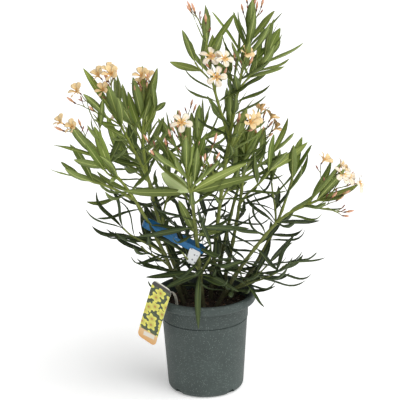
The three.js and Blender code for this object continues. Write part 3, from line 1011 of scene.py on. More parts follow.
def blade(start, heading, face, length, width, outline, bend, fold, thick, twist=0.0, wave=0.0):
    """Points, faces, the strip each face is in, and the middle line of a closed blade.

    outline holds (share of length, share of half width) for each station. bend(share) is the
    pitch, in radians per length. fold lifts the edges. twist turns the blade along its length.
    """
    along = heading.normalized()
    across = along.cross(face).normalized()
    here = start.copy()
    points, faces, strips, middles = [], [], [], []
    last = 0.0
    for share, half in outline:
        along = Matrix.Rotation(bend(share) * (share - last), 3, across) @ along
        across = Matrix.Rotation(twist * (share - last), 3, along) @ across
        here = here + along * (share - last) * length
        last = share
        normal = across.cross(along).normalized()
        edge = half * width / 2
        rib = min(RIB_SHARE * width / 2 * (1.15 - share), edge * 0.6)
        middle = (edge + rib) / 2
        ripple = wave * math.sin(share * 15 + length * 900)
        for x, weight in ((-edge, -0.7), (-middle, -0.3), (-rib, 0), (rib, 0), (middle, 0.4),
                          (edge, 1)):
            height = abs(x) * math.tan(fold) + ripple * weight
            points.append(here + across * x + normal * height)
        body = thick * (1 - 0.7 * share)
        points.append(here + across * rib - normal * body)
        points.append(here - across * rib - normal * body)
        middles.append(here)
    stations = len(outline)
    for i in range(stations - 1):
        a, b = SECTION * i, SECTION * (i + 1)
        for j, strip in enumerate(STRIPS):
            k = (j + 1) % SECTION
            faces.append((a + j, a + k, b + k, b + j))
            strips.append(strip)
    faces.append(tuple(reversed(range(SECTION))))
    faces.append(tuple(range(SECTION * (stations - 1), SECTION * stations)))
    strips += ["under", "under"]
    return points, faces, strips, middles

# %% [markdown]
# ## Leaves
# Oleander leaves are long, narrow and leathery, with a pale midrib. Near a tip they are broad and
# stand up around the shoot. Lower down they are darker and narrower, they lie nearly level, sag,
# and hook up at the end. So size, lean and bend all follow the youth of the whorl.
#
# A leaf has no room inside the pot's wall, the compost, the tag or a stem, and the crown keeps
# the outline of the masses. So each leaf gets a few tries, and the try that fits best is kept.

# %% What the leaves keep clear of, and what they fill
def surface_of(name):
    """A CAD node's surface, ready for fast questions about what is near."""
    mesh = frame["nodes"][name].data
    return BVHTree.FromPolygons([vertex.co.copy() for vertex in mesh.vertices],
                                [tuple(face.vertices) for face in mesh.polygons])


RAY = Vector((0.31, 0.17, 0.93)).normalized()


def outside_by(surface, point):
    """Distance of a point outside a closed surface, negative inside.

    A ray from inside crosses the surface an odd number of times."""
    distance = surface.find_nearest(point)[3]
    inside = False
    hit = surface.ray_cast(point, RAY)[0]
    while hit is not None:
        inside = not inside
        hit = surface.ray_cast(hit + RAY * 0.01 * MM, RAY)[0]
    return -distance if inside else distance


solids = [surface_of(name) for name in (
    "pot", "compost", "picture_tag", "tag_tongue", "loop_strap", "loop_head")]
masses = {name: surface_of(name) for name in FOLIAGE_NODES}

wood_points = [(point, thick, number) for number, line in enumerate(lines)
               for point, thick in zip(line["points"], line["thickness"])]
wood_tree = KDTree(len(wood_points))
for i, (point, _, _) in enumerate(wood_points):
    wood_tree.insert(point, i)
wood_tree.balance()
print("solids:", len(solids), "masses:", len(masses), "points of wood:", len(wood_points))

# %% One leaf by chance
LEAF_OUTLINE = [(0.0, 0.14), (0.05, 0.13), (0.13, 0.46), (0.24, 0.78), (0.37, 0.96), (0.50, 1.0),
                (0.62, 0.96), (0.73, 0.84), (0.83, 0.65), (0.91, 0.42), (0.97, 0.2), (1.0, 0.04)]
TRIES = 7

# What a leaf's shape runs between: the first value for an old leaf, the second for a young one.
LEAN_DEGREES = (76, 24)
FACE_UP = (1.2, 0.3)
ROLL = (0.22, 0.38)
LENGTH = (98 * MM, 112 * MM)
WIDTH = (11 * MM, 18.5 * MM)
FOLD_DEGREES = (24, 11)
TWIST = (0.18, 0.35)
THICK = (0.9 * MM, 1.0 * MM)
TENDER_FROM = 0.85


def blend(old, young, youth):
    """A value between the old leaf's, at youth 0, and the young leaf's, at youth 1."""
    return old + (young - old) * youth


def try_leaf(whorl, turn, attempt):
    """One leaf by chance, a third of the way round the whorl. Later attempts make shorter ones."""
    youth = whorl["youth"]
    axis = whorl["axis"]
    side = axis.orthogonal().normalized()
    out = Matrix.Rotation(turn + dice.gauss(0, 0.18), 3, axis) @ side
    upright = whorl["upright"]
    lean = math.radians(blend(*LEAN_DEGREES, upright) + dice.gauss(0, 6))
    heading = axis * math.cos(lean) + out * math.sin(lean)
    level = Vector((out.x, out.y, 0)).normalized()
    pitch = math.radians(dice.uniform(-22, 26))
    level = level * math.cos(pitch) + UP * math.sin(pitch)
    heading = heading.lerp(level, 0.7 * (1 - upright)).normalized()
    face = axis + UP * blend(*FACE_UP, youth)
    face = (face - heading * face.dot(heading)).normalized()
    face = Matrix.Rotation(dice.gauss(0, blend(*ROLL, youth)), 3, heading) @ face
    tender = max(0.0, (youth - TENDER_FROM) / (1 - TENDER_FROM)) if whorl["bud"] else 0.0
    length = blend(*LENGTH, youth) * (1 - 0.4 * tender) * dice.uniform(0.82, 1.15)
    length *= 1 - 0.05 * attempt * youth
    width = blend(*WIDTH, min(1.0, youth * 1.4)) * (1 - 0.3 * tender) * dice.uniform(0.84, 1.14)
    sag = blend(dice.uniform(0.2, 1.0), dice.uniform(-0.55, 0.3), youth)
    hook = blend(dice.uniform(0.8, 3.2), dice.uniform(-0.3, 0.9), youth)
    return dict(start=whorl["at"], heading=heading, face=face, length=length, width=width,
                sag=sag, hook=hook,
                fold=math.radians(blend(*FOLD_DEGREES, youth) + dice.gauss(0, 4)),
                twist=dice.gauss(0, blend(*TWIST, youth)), wave=dice.uniform(0.1, 0.7) * MM,
                thick=blend(*THICK, youth))


def leaf_mesh(leaf):
    """The blade of a leaf, which sags along its first half and hooks near its tip."""
    def bend(share):
        late = max(0.0, min(1.0, (share - 0.45) / 0.4))
        return -leaf["sag"] * (1 - late) + leaf["hook"] * 1.3 * late
    return blade(leaf["start"], leaf["heading"], leaf["face"], leaf["length"], leaf["width"],
                 LEAF_OUTLINE, bend, leaf["fold"], leaf["thick"], leaf["twist"], leaf["wave"])


# %% How well a leaf sits
SIZE_ROOM = 12 * MM
OUTLINE_ROOM = 8 * MM
OUTLINE_WEIGHT = 0.7
OUTLINE_STATIONS = (6, 8, 11)
SOLID_COST = 0.2
WOOD_COST = 0.05
GOOD_FIT = 1 * MM
POOR_FIT = 0.19


def misfit(middles, own_line, width):
    """How badly a leaf sits: in a solid, through a stem, past the size, or outside the crown."""
    cost = 0.0
    for i in range(3, len(middles)):
        point = middles[i]
        if any(not low - SIZE_ROOM < p < high + SIZE_ROOM
               for p, low, high in zip(point, cad_box[0], cad_box[1])):
            cost += SOLID_COST
        if any(outside_by(surface, point) < 0.4 * width for surface in solids):
            cost += SOLID_COST
        _, near, distance = wood_tree.find(point)
        thick, number = wood_points[near][1:]
        if distance < thick + 0.25 * width and not (number == own_line and i < 4):
            cost += WOOD_COST
        if i in OUTLINE_STATIONS:
            outside = min(outside_by(mass, point) for mass in masses.values())
            cost += OUTLINE_WEIGHT * max(0.0, outside - OUTLINE_ROOM)
    return cost


# %% Leaves with a place of their own
# Limb, height of its whorl, then for each leaf: bearing and pitch in degrees, length and width in
# millimetres, sag, hook, share turned to the front, and pile. A bearing of 0 is towards +X.
SHOWN_LEAVES = {
    ("stem_front", 262): [
        (196, 18, 112, 15, 1.3, 0.6, 0.5, "leaves_old"),
        (222, 10, 78, 14, 1.5, 0.2, 0.6, "leaves_old"),
        (338, 4, 88, 14, 1.5, 0.3, 0.4, "leaves_old"),
        (264, 12, 126, 13, 2.5, -0.4, 0.2, "leaves_old")],
    ("stem_front", 368): [
        (192, -5, 118, 12, 0.3, 0.9, 0.7, "leaves_old"),
        (4, -4, 108, 12, 0.1, 0.9, 0.7, "leaves_old")],
    ("stem_front", 448): [
        # This leaf's pale tint is painted light, for a leaf that is turned into shade.
        (206, 34, 74, 30, 2.0, 0.6, 0.95, "leaf_pale"),
        (8, 10, 132, 19, -0.6, 0.4, 0.75, "leaves_middle"),
        (190, 4, 136, 18, 0.1, 0.9, 0.7, "leaves_middle"),
        (352, 36, 128, 17, 1.0, 0.2, 0.6, "leaves_young")],
    ("stem_front", 352): [
        (8, 12, 62, 14, 0.5, 0.6, 0.7, "leaves_middle"),
        (186, 66, 96, 16, -0.5, 0.4, 0.9, "leaves_middle")],
}


def placed_leaf(point, bearing, pitch, length, width, sag, hook, shown):
    """shown turns the upper side from the sky, at 0, to the front, at 1."""
    bearing, pitch = math.radians(bearing), math.radians(pitch)
    level = Vector((math.cos(bearing), math.sin(bearing), 0))
    heading = level * math.cos(pitch) + UP * math.sin(pitch)
    face = UP.lerp(Vector((0, -1, 0.1)), shown)
    face = (face - heading * face.dot(heading)).normalized()
    return dict(start=point, heading=heading, face=face, length=length * MM, width=width * MM,
                sag=sag, hook=hook, fold=math.radians(14), twist=0.15, wave=0.4 * MM,
                thick=0.9 * MM)


# %% Grow the leaves
piles = {name: Pile() for name in ("leaves_young", "leaves_middle", "leaves_old", "leaf_pale")}
STRIP_SLOT = {"rib": 3, "under": 4}
YOUNG_FROM = 0.55
MIDDLE_FROM = 0.15
DROP_CHANCE = (0.24, 0.13)
SPRAY_TINT_CHANCE = 0.6
dropped = 0
for number, line in enumerate(lines):
    spray_tint = dice.randrange(3)
    for whorl in line["whorls"]:
        youth = whorl["youth"]
        kind = ("leaves_young" if youth > YOUNG_FROM else
                "leaves_middle" if youth > MIDDLE_FROM else "leaves_old")
        for k in range(3):
            if dice.random() < blend(*DROP_CHANCE, youth):
                dropped += 1
                continue
            best = None
            for attempt in range(TRIES):
                leaf = try_leaf(whorl, whorl["turn"] + math.tau * k / 3, attempt)
                points, faces, strips, middles = leaf_mesh(leaf)
                cost = misfit(middles, number, leaf["width"])
                if best is None or cost < best[0]:
                    best = (cost, points, faces, strips)
                if cost < GOOD_FIT:
                    break
            if best[0] > POOR_FIT:
                dropped += 1
                continue
            tint = spray_tint if dice.random() < SPRAY_TINT_CHANCE else dice.randrange(3)
            _, points, faces, strips = best
            piles[kind].add(points, faces, [STRIP_SLOT.get(strip, tint) for strip in strips])
for (limb, height), leaves in SHOWN_LEAVES.items():
    root = min(limb_lines[limb]["points"], key=lambda point: abs(point.z - height * MM))
    for *numbers, kind in leaves:
        points, faces, strips, _ = leaf_mesh(placed_leaf(root, *numbers))
        piles[kind].add(points, faces, [STRIP_SLOT.get(strip, 2) for strip in strips])
print("places where a leaf is missing:", dropped)


# %% [markdown]
# ## The colour of the leaves
# Young oleander leaves are a fresh yellow-green, and old ones deep in the shrub are darker green.
# The nearly black green of the low leaves is partly painted shade, since their tint follows height
# as well as age. A texture could vary each blade, but on hundreds of small leaves it would hardly
# show. So each leaf is dealt one of three plain tints of its age, most often that of its spray, and
# only the midrib and the duller underside have colours of their own.


# %% Leaf materials
def leaf_material(name, colour, roughness=0.52):
    return new_material(name, roughness, Base_Color=colour, Specular_IOR_Level=0.3)[0]


# The old tints also go to the low leaves in the shade of the crown, so their darkness is partly the
# leaves' age and partly painted shade.
TINTS = {
    "leaves_young": [shade(128, 146, 66), shade(110, 130, 56), shade(144, 158, 80)],
    "leaves_middle": [shade(96, 112, 52), shade(82, 98, 46), shade(110, 124, 60)],
    "leaves_old": [shade(54, 67, 38), shade(45, 57, 34), shade(66, 80, 44)],
    # The lone pale leaf is painted light: its tint is raised so that it looks sunlit, although it is
    # turned into shade.
    "leaf_pale": [shade(212, 228, 162)] * 3,
}
RIBS = {"leaves_young": shade(190, 200, 120), "leaves_middle": shade(164, 176, 98),
        "leaves_old": shade(108, 122, 66), "leaf_pale": shade(222, 232, 176)}
UNDERSIDES = {"leaves_young": shade(128, 144, 78), "leaves_middle": shade(100, 115, 62),
              "leaves_old": shade(64, 77, 48), "leaf_pale": shade(208, 226, 156)}

for name, pile in piles.items():
    dress = [leaf_material(name + "_tint_" + str(i + 1), tint) for i, tint in enumerate(TINTS[name])]
    dress.append(leaf_material(name + "_rib", RIBS[name], 0.5))
    dress.append(leaf_material(name + "_underside", UNDERSIDES[name], 0.68))
    foliage = pile_object(name, pile, dress)
    finish_piece(foliage, "leaf", *(FOLIAGE_NODES if name == "leaves_young" else []))

# %% [markdown]
# ## Blossom
# Each flowering tip ends in a loose cluster on thin stalks. An open flower is a short funnel with
# five petals set like a pinwheel, pale orange in the throat and cream or apricot outside. A bud
# is a slim spindle, salmon with a dark cup. Flowers and buds repeat, so only a flat flower, a half
# open one and a bud are modelled. Geometry Nodes set them on every spot, each with that spot's
# own turn and size.

# %% The stalks of one cluster, and the spots they lead to
spots = {"flower_cream": [], "flower_apricot": [], "bud": [], "bud_small": []}
stalks = []
ARM_THICK = 1.15 * MM
FLOWER_STALK_THICK = 0.9 * MM
ARM_LENGTH = (20 * MM, 32 * MM)
FLOWER_STALK_LENGTH = (9 * MM, 15 * MM)
ARM_SPREAD_DEGREES = (18, 34)


def add_stalk(start, heading, goal, thick, age=0.0):
    """A thin bowed stalk. age is that of its far end, and turns its colour."""
    line = smooth_line([start, *reach(start, heading, goal, rise=0.1, stops=3)], 3 * MM)
    count = len(line)
    stalks.append({"points": line, "swelling": [0.0] * count,
                   "thickness": [thick - 0.25 * thick * i / (count - 1) for i in range(count)],
                   "age": [age * i / (count - 1) for i in range(count)]})
    return line


# %% Grow the clusters
def face_outward(heading, place):
    """Open flowers turn to the light, out from the middle of the plant and a little forward."""
    away = Vector((place.x, place.y - 60 * MM, 0)).normalized()
    return (heading + away * 0.8 + UP * 0.25 + Vector((0, -0.2, 0))).normalized()


def grow_cluster(line):
    """A few arms fork off near the line's tip, and each arm's short stalks end in its spots."""
    open_count, bud_count, tint, _ = BLOOMS[line["bloom"]]
    if open_count + bud_count == 0:
        return
    points = line["points"]
    heading = heading_at(points, len(points) - 1)
    side = heading.orthogonal().normalized()
    kinds = ["flower_" + tint] * open_count + ["bud"] * ((bud_count + 1) // 2)
    kinds += ["bud_small"] * (bud_count // 2)
    arms = min(4, 2 + len(kinds) // 4)
    turn = dice.uniform(0, math.tau)
    for arm in range(arms):
        around = Matrix.Rotation(turn + math.tau * arm / arms + dice.gauss(0, 0.2), 3, heading)
        out = around @ side
        start = points[-1 - 2 * arm]
        spread = math.radians(dice.uniform(*ARM_SPREAD_DEGREES))
        if open_count == 1 and arm == 0:
            spread *= 0.2
        away = heading * math.cos(spread) + out * math.sin(spread)
        goal = start + away * dice.uniform(*ARM_LENGTH)
        limb = add_stalk(start, heading.lerp(out, 0.4), goal, ARM_THICK)
        end_heading = heading_at(limb, len(limb) - 1)
        own = kinds[arm::arms]
        for i, kind in enumerate(own):
            fork = Matrix.Rotation(math.tau * i / len(own) + turn, 3, end_heading)
            wide = 0.75 if i else 0.2
            lead = (end_heading + (fork @ end_heading.orthogonal().normalized()) * wide).normalized()
            long = dice.uniform(*FLOWER_STALK_LENGTH) * (1.0 if kind != "bud_small" else 0.8)
            from_point = limb[-1 - min(2 * i, len(limb) - 2)]
            stalk = add_stalk(from_point, end_heading.lerp(lead, 0.5), from_point + lead * long,
                              FLOWER_STALK_THICK, age=1.0)
            aim = heading_at(stalk, len(stalk) - 1)
            if kind.startswith("flower"):
                aim = face_outward(aim, stalk[-1])
            else:
                aim = (aim + UP * 0.4).normalized()
            size = dice.uniform(0.9, 1.08)
            spots[kind].append((stalk[-1], aim, dice.uniform(0, math.tau), size))


for line in lines:
    grow_cluster(line)
print({kind: len(places) for kind, places in spots.items()})

stalk_skin = bark_material("stalk_skin", shade(140, 152, 80), shade(120, 84, 62))
stalk_piece = wire_object("flower_stalks", stalks)
run_tree(stalk_piece, BARK_SWEEP, Sides=6, Relief=0.0, Material=stalk_skin)
finish_piece(stalk_piece, "stem_bark")

# %% Parts of a flower
PETAL_OUTLINE = [(0.0, 0.34), (0.12, 0.42), (0.28, 0.64), (0.46, 0.90), (0.66, 1.0), (0.84, 0.88),
                 (0.95, 0.56), (1.0, 0.22)]
CUP_OUTLINE = [(0.0, 0.7), (0.3, 1.0), (0.6, 0.8), (0.85, 0.4), (1.0, 0.05)]
THROAT, PETAL, BACK, CUP = range(4)
PETALS = 5
# Parts of a petal's length that the throat's colour covers, on the midrib and beside it.
THROAT_ON_RIB = 0.55
THROAT_BESIDE = 0.16


def ring_of_blades(pile, count, radius, height, rise, size, outline, bend, roll, zones):
    """Blades set round Z: they start on a ring and rise by an angle above its plane.

    size is a blade's length, width and thickness. zones are those of its foot, top and underside.
    """
    for i in range(count):
        turn = Matrix.Rotation(math.tau * i / count, 3, "Z")
        heading = Vector((math.cos(rise), 0, math.sin(rise)))
        face = Matrix.Rotation(roll, 3, heading) @ Vector((-math.sin(rise), 0, math.cos(rise)))
        points, faces, strips, _ = blade(
            turn @ Vector((radius, 0, height)), turn @ heading, turn @ face, size[0], size[1],
            outline, bend, 0.12, size[2])
        stations = len(outline) - 1
        kinds = []
        for number, strip in enumerate(strips):
            share = number // SECTION / stations
            streak = share < (THROAT_ON_RIB if strip == "rib" else THROAT_BESIDE)
            kinds.append(zones[2] if strip == "under" else zones[0] if streak else zones[1])
        pile.add(points, faces, kinds)


def add_cup(pile):
    """The five small sepals under a flower or a bud."""
    ring_of_blades(pile, PETALS, 0.9 * MM, 0.2 * MM, math.radians(72), (6 * MM, 2.6 * MM, 0.5 * MM),
                   CUP_OUTLINE, lambda share: 0.35, 0.0, (CUP, CUP, CUP))


def zoned_object(name, pile):
    """The zone of each face is stored on it, and the node tree gives it its material."""
    piece = mesh_object(name, pile.points, pile.faces)
    store(piece.data, "zone", pile.slots, "FACE")
    return piece


# %% A flower and a bud
# Radius and height in millimetres, up the outside of a flower's tube and down into its throat, and
# up a closed bud. The first faces of each side, as many as the last number says, are the back.
TUBE = [(0, 0), (1.1, 0.2), (1.3, 5), (2.0, 9), (3.3, 12.5), (4.0, 14.2), (3.7, 14.4),
        (2.7, 12.2), (1.2, 9.5), (0, 9)]
TUBE_SIDES, TUBE_BACK = 10, 6
SPINDLE = [(0, 0), (1.1, 0.3), (1.2, 3.5), (1.6, 6.5), (2.2, 9.5), (2.55, 12), (2.4, 14.5),
           (1.9, 17), (1.2, 19.5), (0.55, 21.5), (0, 22.5)]
SPINDLE_SIDES, SPINDLE_BACK = 12, 5


def make_flower(name, rise, roll, size, bend):
    """An open flower: rise, roll, size and bend are those of its petals."""
    pile = Pile()
    points, faces = spin([(x * MM, z * MM) for x, z in TUBE], TUBE_SIDES)
    per_side = len(faces) // TUBE_SIDES
    kinds = [BACK if number % per_side < TUBE_BACK else THROAT for number in range(len(faces))]
    pile.add(points, faces, kinds)
    ring_of_blades(pile, PETALS, 3.2 * MM, 13.6 * MM, math.radians(rise), size, PETAL_OUTLINE, bend,
                   math.radians(roll), (THROAT, PETAL, BACK))
    ring_of_blades(pile, PETALS, 2.6 * MM, 13.4 * MM, math.radians(68), (5 * MM, 2.0 * MM, 0.3 * MM),
                   CUP_OUTLINE, lambda share: 0.3, 0.0, (THROAT, THROAT, THROAT))
    add_cup(pile)
    return zoned_object(name, pile)


def make_bud():
    """A bud: a spindle whose sides are ridged and furled, as the rolled petals are."""
    pile = Pile()
    points, faces = spin([(x * MM, z * MM) for x, z in SPINDLE], SPINDLE_SIDES)
    for number, point in enumerate(points):
        furl = Matrix.Rotation(point.z * 60, 3, "Z")
        ridge = 1 + 0.07 * (1 if number % 2 else -1)
        points[number] = furl @ Vector((point.x * ridge, point.y * ridge, point.z))
    per_side = len(faces) // SPINDLE_SIDES
    kinds = [BACK if number % per_side < SPINDLE_BACK else PETAL for number in range(len(faces))]
    pile.add(points, faces, kinds)
    add_cup(pile)
    return zoned_object("bud_pattern", pile)


# %% Geometry Nodes: one pattern on every spot
def make_planting():
    tree, given, result = group_tree(
        "pattern_on_spots", "GeometryNodeTree",
        [("Spots", "NodeSocketGeometry", None), ("Pattern", "NodeSocketObject", None),
         ("Size", NUMBER, 1.0)]
        + [(label, "NodeSocketMaterial", None) for label in ("Throat", "Petal", "Back", "Cup")],
        [("Blossom", "NodeSocketGeometry")])
    turn = stored(tree, "turn", "FLOAT_VECTOR")
    zone = stored(tree, "zone")
    size = math_node(tree, "MULTIPLY", stored(tree, "growth"), given.outputs["Size"])
    shape = put(tree, "GeometryNodeObjectInfo", {"Object": given.outputs["Pattern"]})
    copies = put(tree, "GeometryNodeInstanceOnPoints",
                 {"Points": given.outputs["Spots"], "Instance": shape.outputs["Geometry"],
                  "Rotation": turn, "Scale": size})
    shown = put(tree, "GeometryNodeRealizeInstances", {0: copies.outputs[0]}).outputs[0]
    for number, label in enumerate(("Throat", "Petal", "Back", "Cup")):
        chosen = put(tree, "ShaderNodeMath",
                     {0: zone, 1: float(number), 2: 0.1}, operation="COMPARE")
        shown = put(tree, "GeometryNodeSetMaterial",
                    {"Geometry": shown, "Selection": chosen.outputs[0],
                     "Material": given.outputs[label]}).outputs[0]
    tree.links.new(shown, result.inputs["Blossom"])
    return tree


PLANTING = make_planting()


def plant(name, pattern, places, size, throat, petal, back, cup):
    """One piece with the pattern on every place, turned and sized as that place says."""
    mesh = bpy.data.meshes.new(name)
    mesh.from_pydata([tuple(place) for place, _, _, _ in places], [], [])
    turns = []
    for _, aim, spin_angle, _ in places:
        turn = aim.to_track_quat("Z", "Y").to_matrix() @ Matrix.Rotation(spin_angle, 3, "Z")
        turns += list(turn.to_euler("XYZ"))
    mesh.attributes.new("turn", "FLOAT_VECTOR", "POINT").data.foreach_set("vector", turns)
    store(mesh, "growth", [growth for _, _, _, growth in places])
    piece = placed_object(name, mesh)
    run_tree(piece, PLANTING, Pattern=pattern, Size=size, Throat=throat, Petal=petal, Back=back,
             Cup=cup)
    print(name + ":", len(piece.data.polygons), "faces on", len(places), "spots")
    return finish_piece(piece, "leaf")


# %% Blossom materials
def petal_material(name, colour):
    return new_material(name, 0.6, Base_Color=colour, Specular_IOR_Level=0.3,
                        Sheen_Weight=0.15)[0]


throat_orange = petal_material("throat_orange", shade(240, 200, 132))
petal_cream = petal_material("petal_cream", shade(246, 234, 212))
petal_apricot = petal_material("petal_apricot", shade(246, 217, 164))
back_cream = petal_material("petal_back_cream", shade(238, 214, 184))
back_apricot = petal_material("petal_back_apricot", shade(236, 196, 138))
bud_salmon = petal_material("bud_salmon", shade(232, 176, 146))
bud_blush = petal_material("bud_blush", shade(214, 156, 108))
bud_dark = petal_material("bud_dark", shade(150, 92, 70))
cup_maroon = petal_material("cup_maroon", shade(112, 76, 58))

open_pattern = make_flower("open_pattern", 14, 16, (18.5 * MM, 13.5 * MM, 0.5 * MM),
                           lambda share: -0.9 if share > 0.4 else 0.2)
half_pattern = make_flower("half_pattern", 36, 24, (17.5 * MM, 13.5 * MM, 0.5 * MM),
                           lambda share: -1.6 if share > 0.5 else 0.3)
bud_pattern = make_bud()
plant("flowers_cream", open_pattern, spots["flower_cream"], 1.0,
      throat_orange, petal_cream, back_cream, cup_maroon)
plant("flowers_apricot", half_pattern, spots["flower_apricot"], 0.94,
      throat_orange, petal_apricot, back_apricot, cup_maroon)
plant("buds", bud_pattern, spots["bud"], 1.0, bud_blush, bud_salmon, bud_blush, cup_maroon)
plant("buds_small", bud_pattern, spots["bud_small"], 0.58, bud_dark, bud_dark, bud_dark, cup_maroon)
for pattern in (open_pattern, half_pattern, bud_pattern):
    bpy.data.objects.remove(pattern)

# %% [markdown]
# ## The picture tag
# A nursery tag is a printed plastic card with rounded corners, on a tongue that holds in the pot.
# The card is a grid bent in a slight curl and closed with a back, so it has a front face for the
# print and a white back and edge. Its place comes from the CAD card, whose points spread least
# across its thickness, and whose smallest rectangle gives its length and width.


# %% Axes of a flat CAD piece
def flat_axes(name):
    """Centre, then (direction, half size) for a piece's length, width and thickness.

    The piece is flat where its points spread least. Its length and width are those of the
    smallest rectangle round it."""
    corners = np.array([tuple(vertex.co) for vertex in frame["nodes"][name].data.vertices])
    flat, wide, long = np.linalg.eigh(np.cov((corners - corners.mean(axis=0)).T))[1].T

    def turned(angle):
        return (math.cos(angle) * long + math.sin(angle) * wide,
                math.cos(angle) * wide - math.sin(angle) * long, flat)

    def area(angle):
        return math.prod(np.ptp(corners @ direction) for direction in turned(angle)[:2])

    centre, axes = np.zeros(3), []
    for direction in turned(min(np.radians(np.arange(-25, 25, 0.25)), key=area)):
        runs = corners @ direction
        centre += direction * (runs.min() + runs.max()) / 2
        axes.append((Vector(direction), (runs.max() - runs.min()) / 2))
    return Vector(centre), axes


def facing_axes(name):
    """The same, with the length pointing up and the thickness to the front."""
    centre, ((long, half_length), (_, half_width), (flat, half_thick)) = flat_axes(name)
    long = long if long.z > 0 else -long
    flat = flat if flat.y < 0 else -flat
    return centre, ((long, half_length), (long.cross(flat), half_width), (flat, half_thick))


# %% A rounded card with a front, an edge and a back
CARD_ROWS = 36
CARD_COLUMNS = 14


def card(name, centre, length, width, normal, half_length, half_width, corner, thick, curl,
         taper=0.0):
    """Rows run along the length. Each row is as wide as the rounded outline allows there."""
    rows, columns = CARD_ROWS, CARD_COLUMNS
    front, back, prints = [], [], []
    for i in range(rows + 1):
        v = math.sin((i / rows - 0.5) * math.pi) / 2 + 0.5
        from_end = min(v, 1 - v) * 2 * half_length
        cut = 0.0
        if from_end < corner:
            cut = corner - math.sqrt(max(0.0, corner ** 2 - (corner - from_end) ** 2))
        for j in range(columns + 1):
            u = j / columns
            x = (2 * u - 1) * (half_width * (1 - taper * (1 - v)) - cut)
            bow = curl * (1 - (2 * v - 1) ** 2) - curl * 0.5 + curl * 0.4 * (x / half_width) ** 2
            middle = centre + length * ((2 * v - 1) * half_length) + width * x + normal * bow
            front.append(middle + normal * thick / 2)
            back.append(middle - normal * thick / 2)
            prints.append(((x / half_width + 1) / 2, v))
    stride = columns + 1
    count = len(front)
    faces, slots = [], []
    for i in range(rows):
        for j in range(columns):
            a = i * stride + j
            faces.append((a, a + 1, a + 1 + stride, a + stride))
            faces.append((count + a, count + a + stride, count + a + 1 + stride, count + a + 1))
            slots += [0, 1]
    rim = ([j for j in range(stride)] + [i * stride + columns for i in range(1, rows + 1)]
           + [rows * stride + j for j in range(columns - 1, -1, -1)]
           + [i * stride for i in range(rows - 1, 0, -1)])
    for a, b in zip(rim, rim[1:] + rim[:1]):
        faces.append((a, count + a, count + b, b))
        slots.append(1)
    if width.cross(length).dot(normal) < 0:
        faces = [tuple(reversed(face)) for face in faces]
    piece = mesh_object(name, front + back, faces)
    piece.data.polygons.foreach_set("material_index", slots)
    layer = piece.data.uv_layers.new(name="print")
    for corner_at in piece.data.loops:
        layer.data[corner_at.index].uv = prints[corner_at.vertex_index % count]
    shade_by_angle(piece)
    return piece


TAG_CORNER = 11 * MM
tag_centre, ((tag_long, tag_half_length), (tag_wide, tag_half_width), (tag_flat, _)) = \
    facing_axes("picture_tag")
tag = card("picture_tag_card", tag_centre, tag_long, tag_wide, tag_flat, tag_half_length,
           tag_half_width, TAG_CORNER, 0.7 * MM, 1.2 * MM)

# %% [markdown]
# The print is a picture of yellow blossom among dark leaves, with a dark strip above and a warm
# strip below. It carries no words. The blossoms come from cells: each cell holds one bloom, whose
# edge waves five times round, with an orange eye. Blooms and leaves are a group of their own.


# %% Printed blossom
def make_print():
    tree, given, result = group_tree(
        "printed_blossom", "ShaderNodeTree",
        [("Vector", VECTOR, None), ("Blooms across", NUMBER, 3.0), ("Petal colour", COLOUR, None),
         ("Eye colour", COLOUR, None), ("Leaf colour", COLOUR, None), ("Shift", NUMBER, 0.0)],
        [("Colour", COLOUR)])
    moved = put(tree, "ShaderNodeVectorMath",
                {0: given.outputs["Vector"], "Scale": given.outputs["Blooms across"]},
                operation="SCALE")
    shifted = put(tree, "ShaderNodeVectorMath", {0: moved.outputs[0]}, operation="ADD")
    offset = put(tree, "ShaderNodeCombineXYZ",
                 {"X": given.outputs["Shift"], "Y": given.outputs["Shift"]})
    tree.links.new(offset.outputs[0], shifted.inputs[1])
    cells = put(tree, "ShaderNodeTexVoronoi",
                {"Vector": shifted.outputs[0], "Scale": 1.0, "Randomness": 0.7},
                voronoi_dimensions="2D")
    spoke = put(tree, "ShaderNodeVectorMath",
                {0: shifted.outputs[0], 1: cells.outputs["Position"]}, operation="SUBTRACT")
    parts = put(tree, "ShaderNodeSeparateXYZ", {0: spoke.outputs[0]})
    angle = math_node(tree, "ARCTAN2", parts.outputs["Y"], parts.outputs["X"])
    tones = put(tree, "ShaderNodeSeparateColor", {"Color": cells.outputs["Color"]})
    start = math_node(tree, "MULTIPLY", tones.outputs["Red"], math.tau)
    wave = math_node(tree, "COSINE", math_node(tree, "MULTIPLY_ADD", angle, 5.0, start))
    edge = math_node(tree, "MULTIPLY_ADD", wave, 0.11, 0.50)
    distance = cells.outputs["Distance"]
    petal = put(tree, "ShaderNodeMapRange",
                {"Value": math_node(tree, "SUBTRACT", edge, distance), "From Min": -0.015,
                 "From Max": 0.015})
    eye = put(tree, "ShaderNodeMapRange", {"Value": distance, "From Min": 0.16, "From Max": 0.05})
    noise = put(tree, "ShaderNodeTexNoise",
                {"Vector": shifted.outputs[0], "Scale": 3.0, "Detail": 2.0, "Distortion": 1.2})
    leaf_tone = put(tree, "ShaderNodeMapRange",
                    {"Value": noise.outputs["Fac"], "From Min": 0.3, "From Max": 0.7,
                     "To Min": 0.35, "To Max": 1.9})
    leaves = put(tree, "ShaderNodeVectorMath",
                 {0: given.outputs["Leaf colour"], "Scale": leaf_tone.outputs["Result"]},
                 operation="SCALE")
    rim_tone = put(tree, "ShaderNodeMapRange",
                   {"Value": distance, "From Min": 0.1, "From Max": 0.5, "To Min": 0.72,
                    "To Max": 1.15})
    lit = put(tree, "ShaderNodeVectorMath",
              {0: given.outputs["Petal colour"], "Scale": rim_tone.outputs["Result"]},
              operation="SCALE")
    bloom = mix_colours(tree, eye.outputs["Result"], lit.outputs[0], given.outputs["Eye colour"])
    picture = mix_colours(tree, petal.outputs["Result"], leaves.outputs[0], bloom)
    tree.links.new(picture, result.inputs["Colour"])
    return tree


PRINTED_BLOSSOM = make_print()

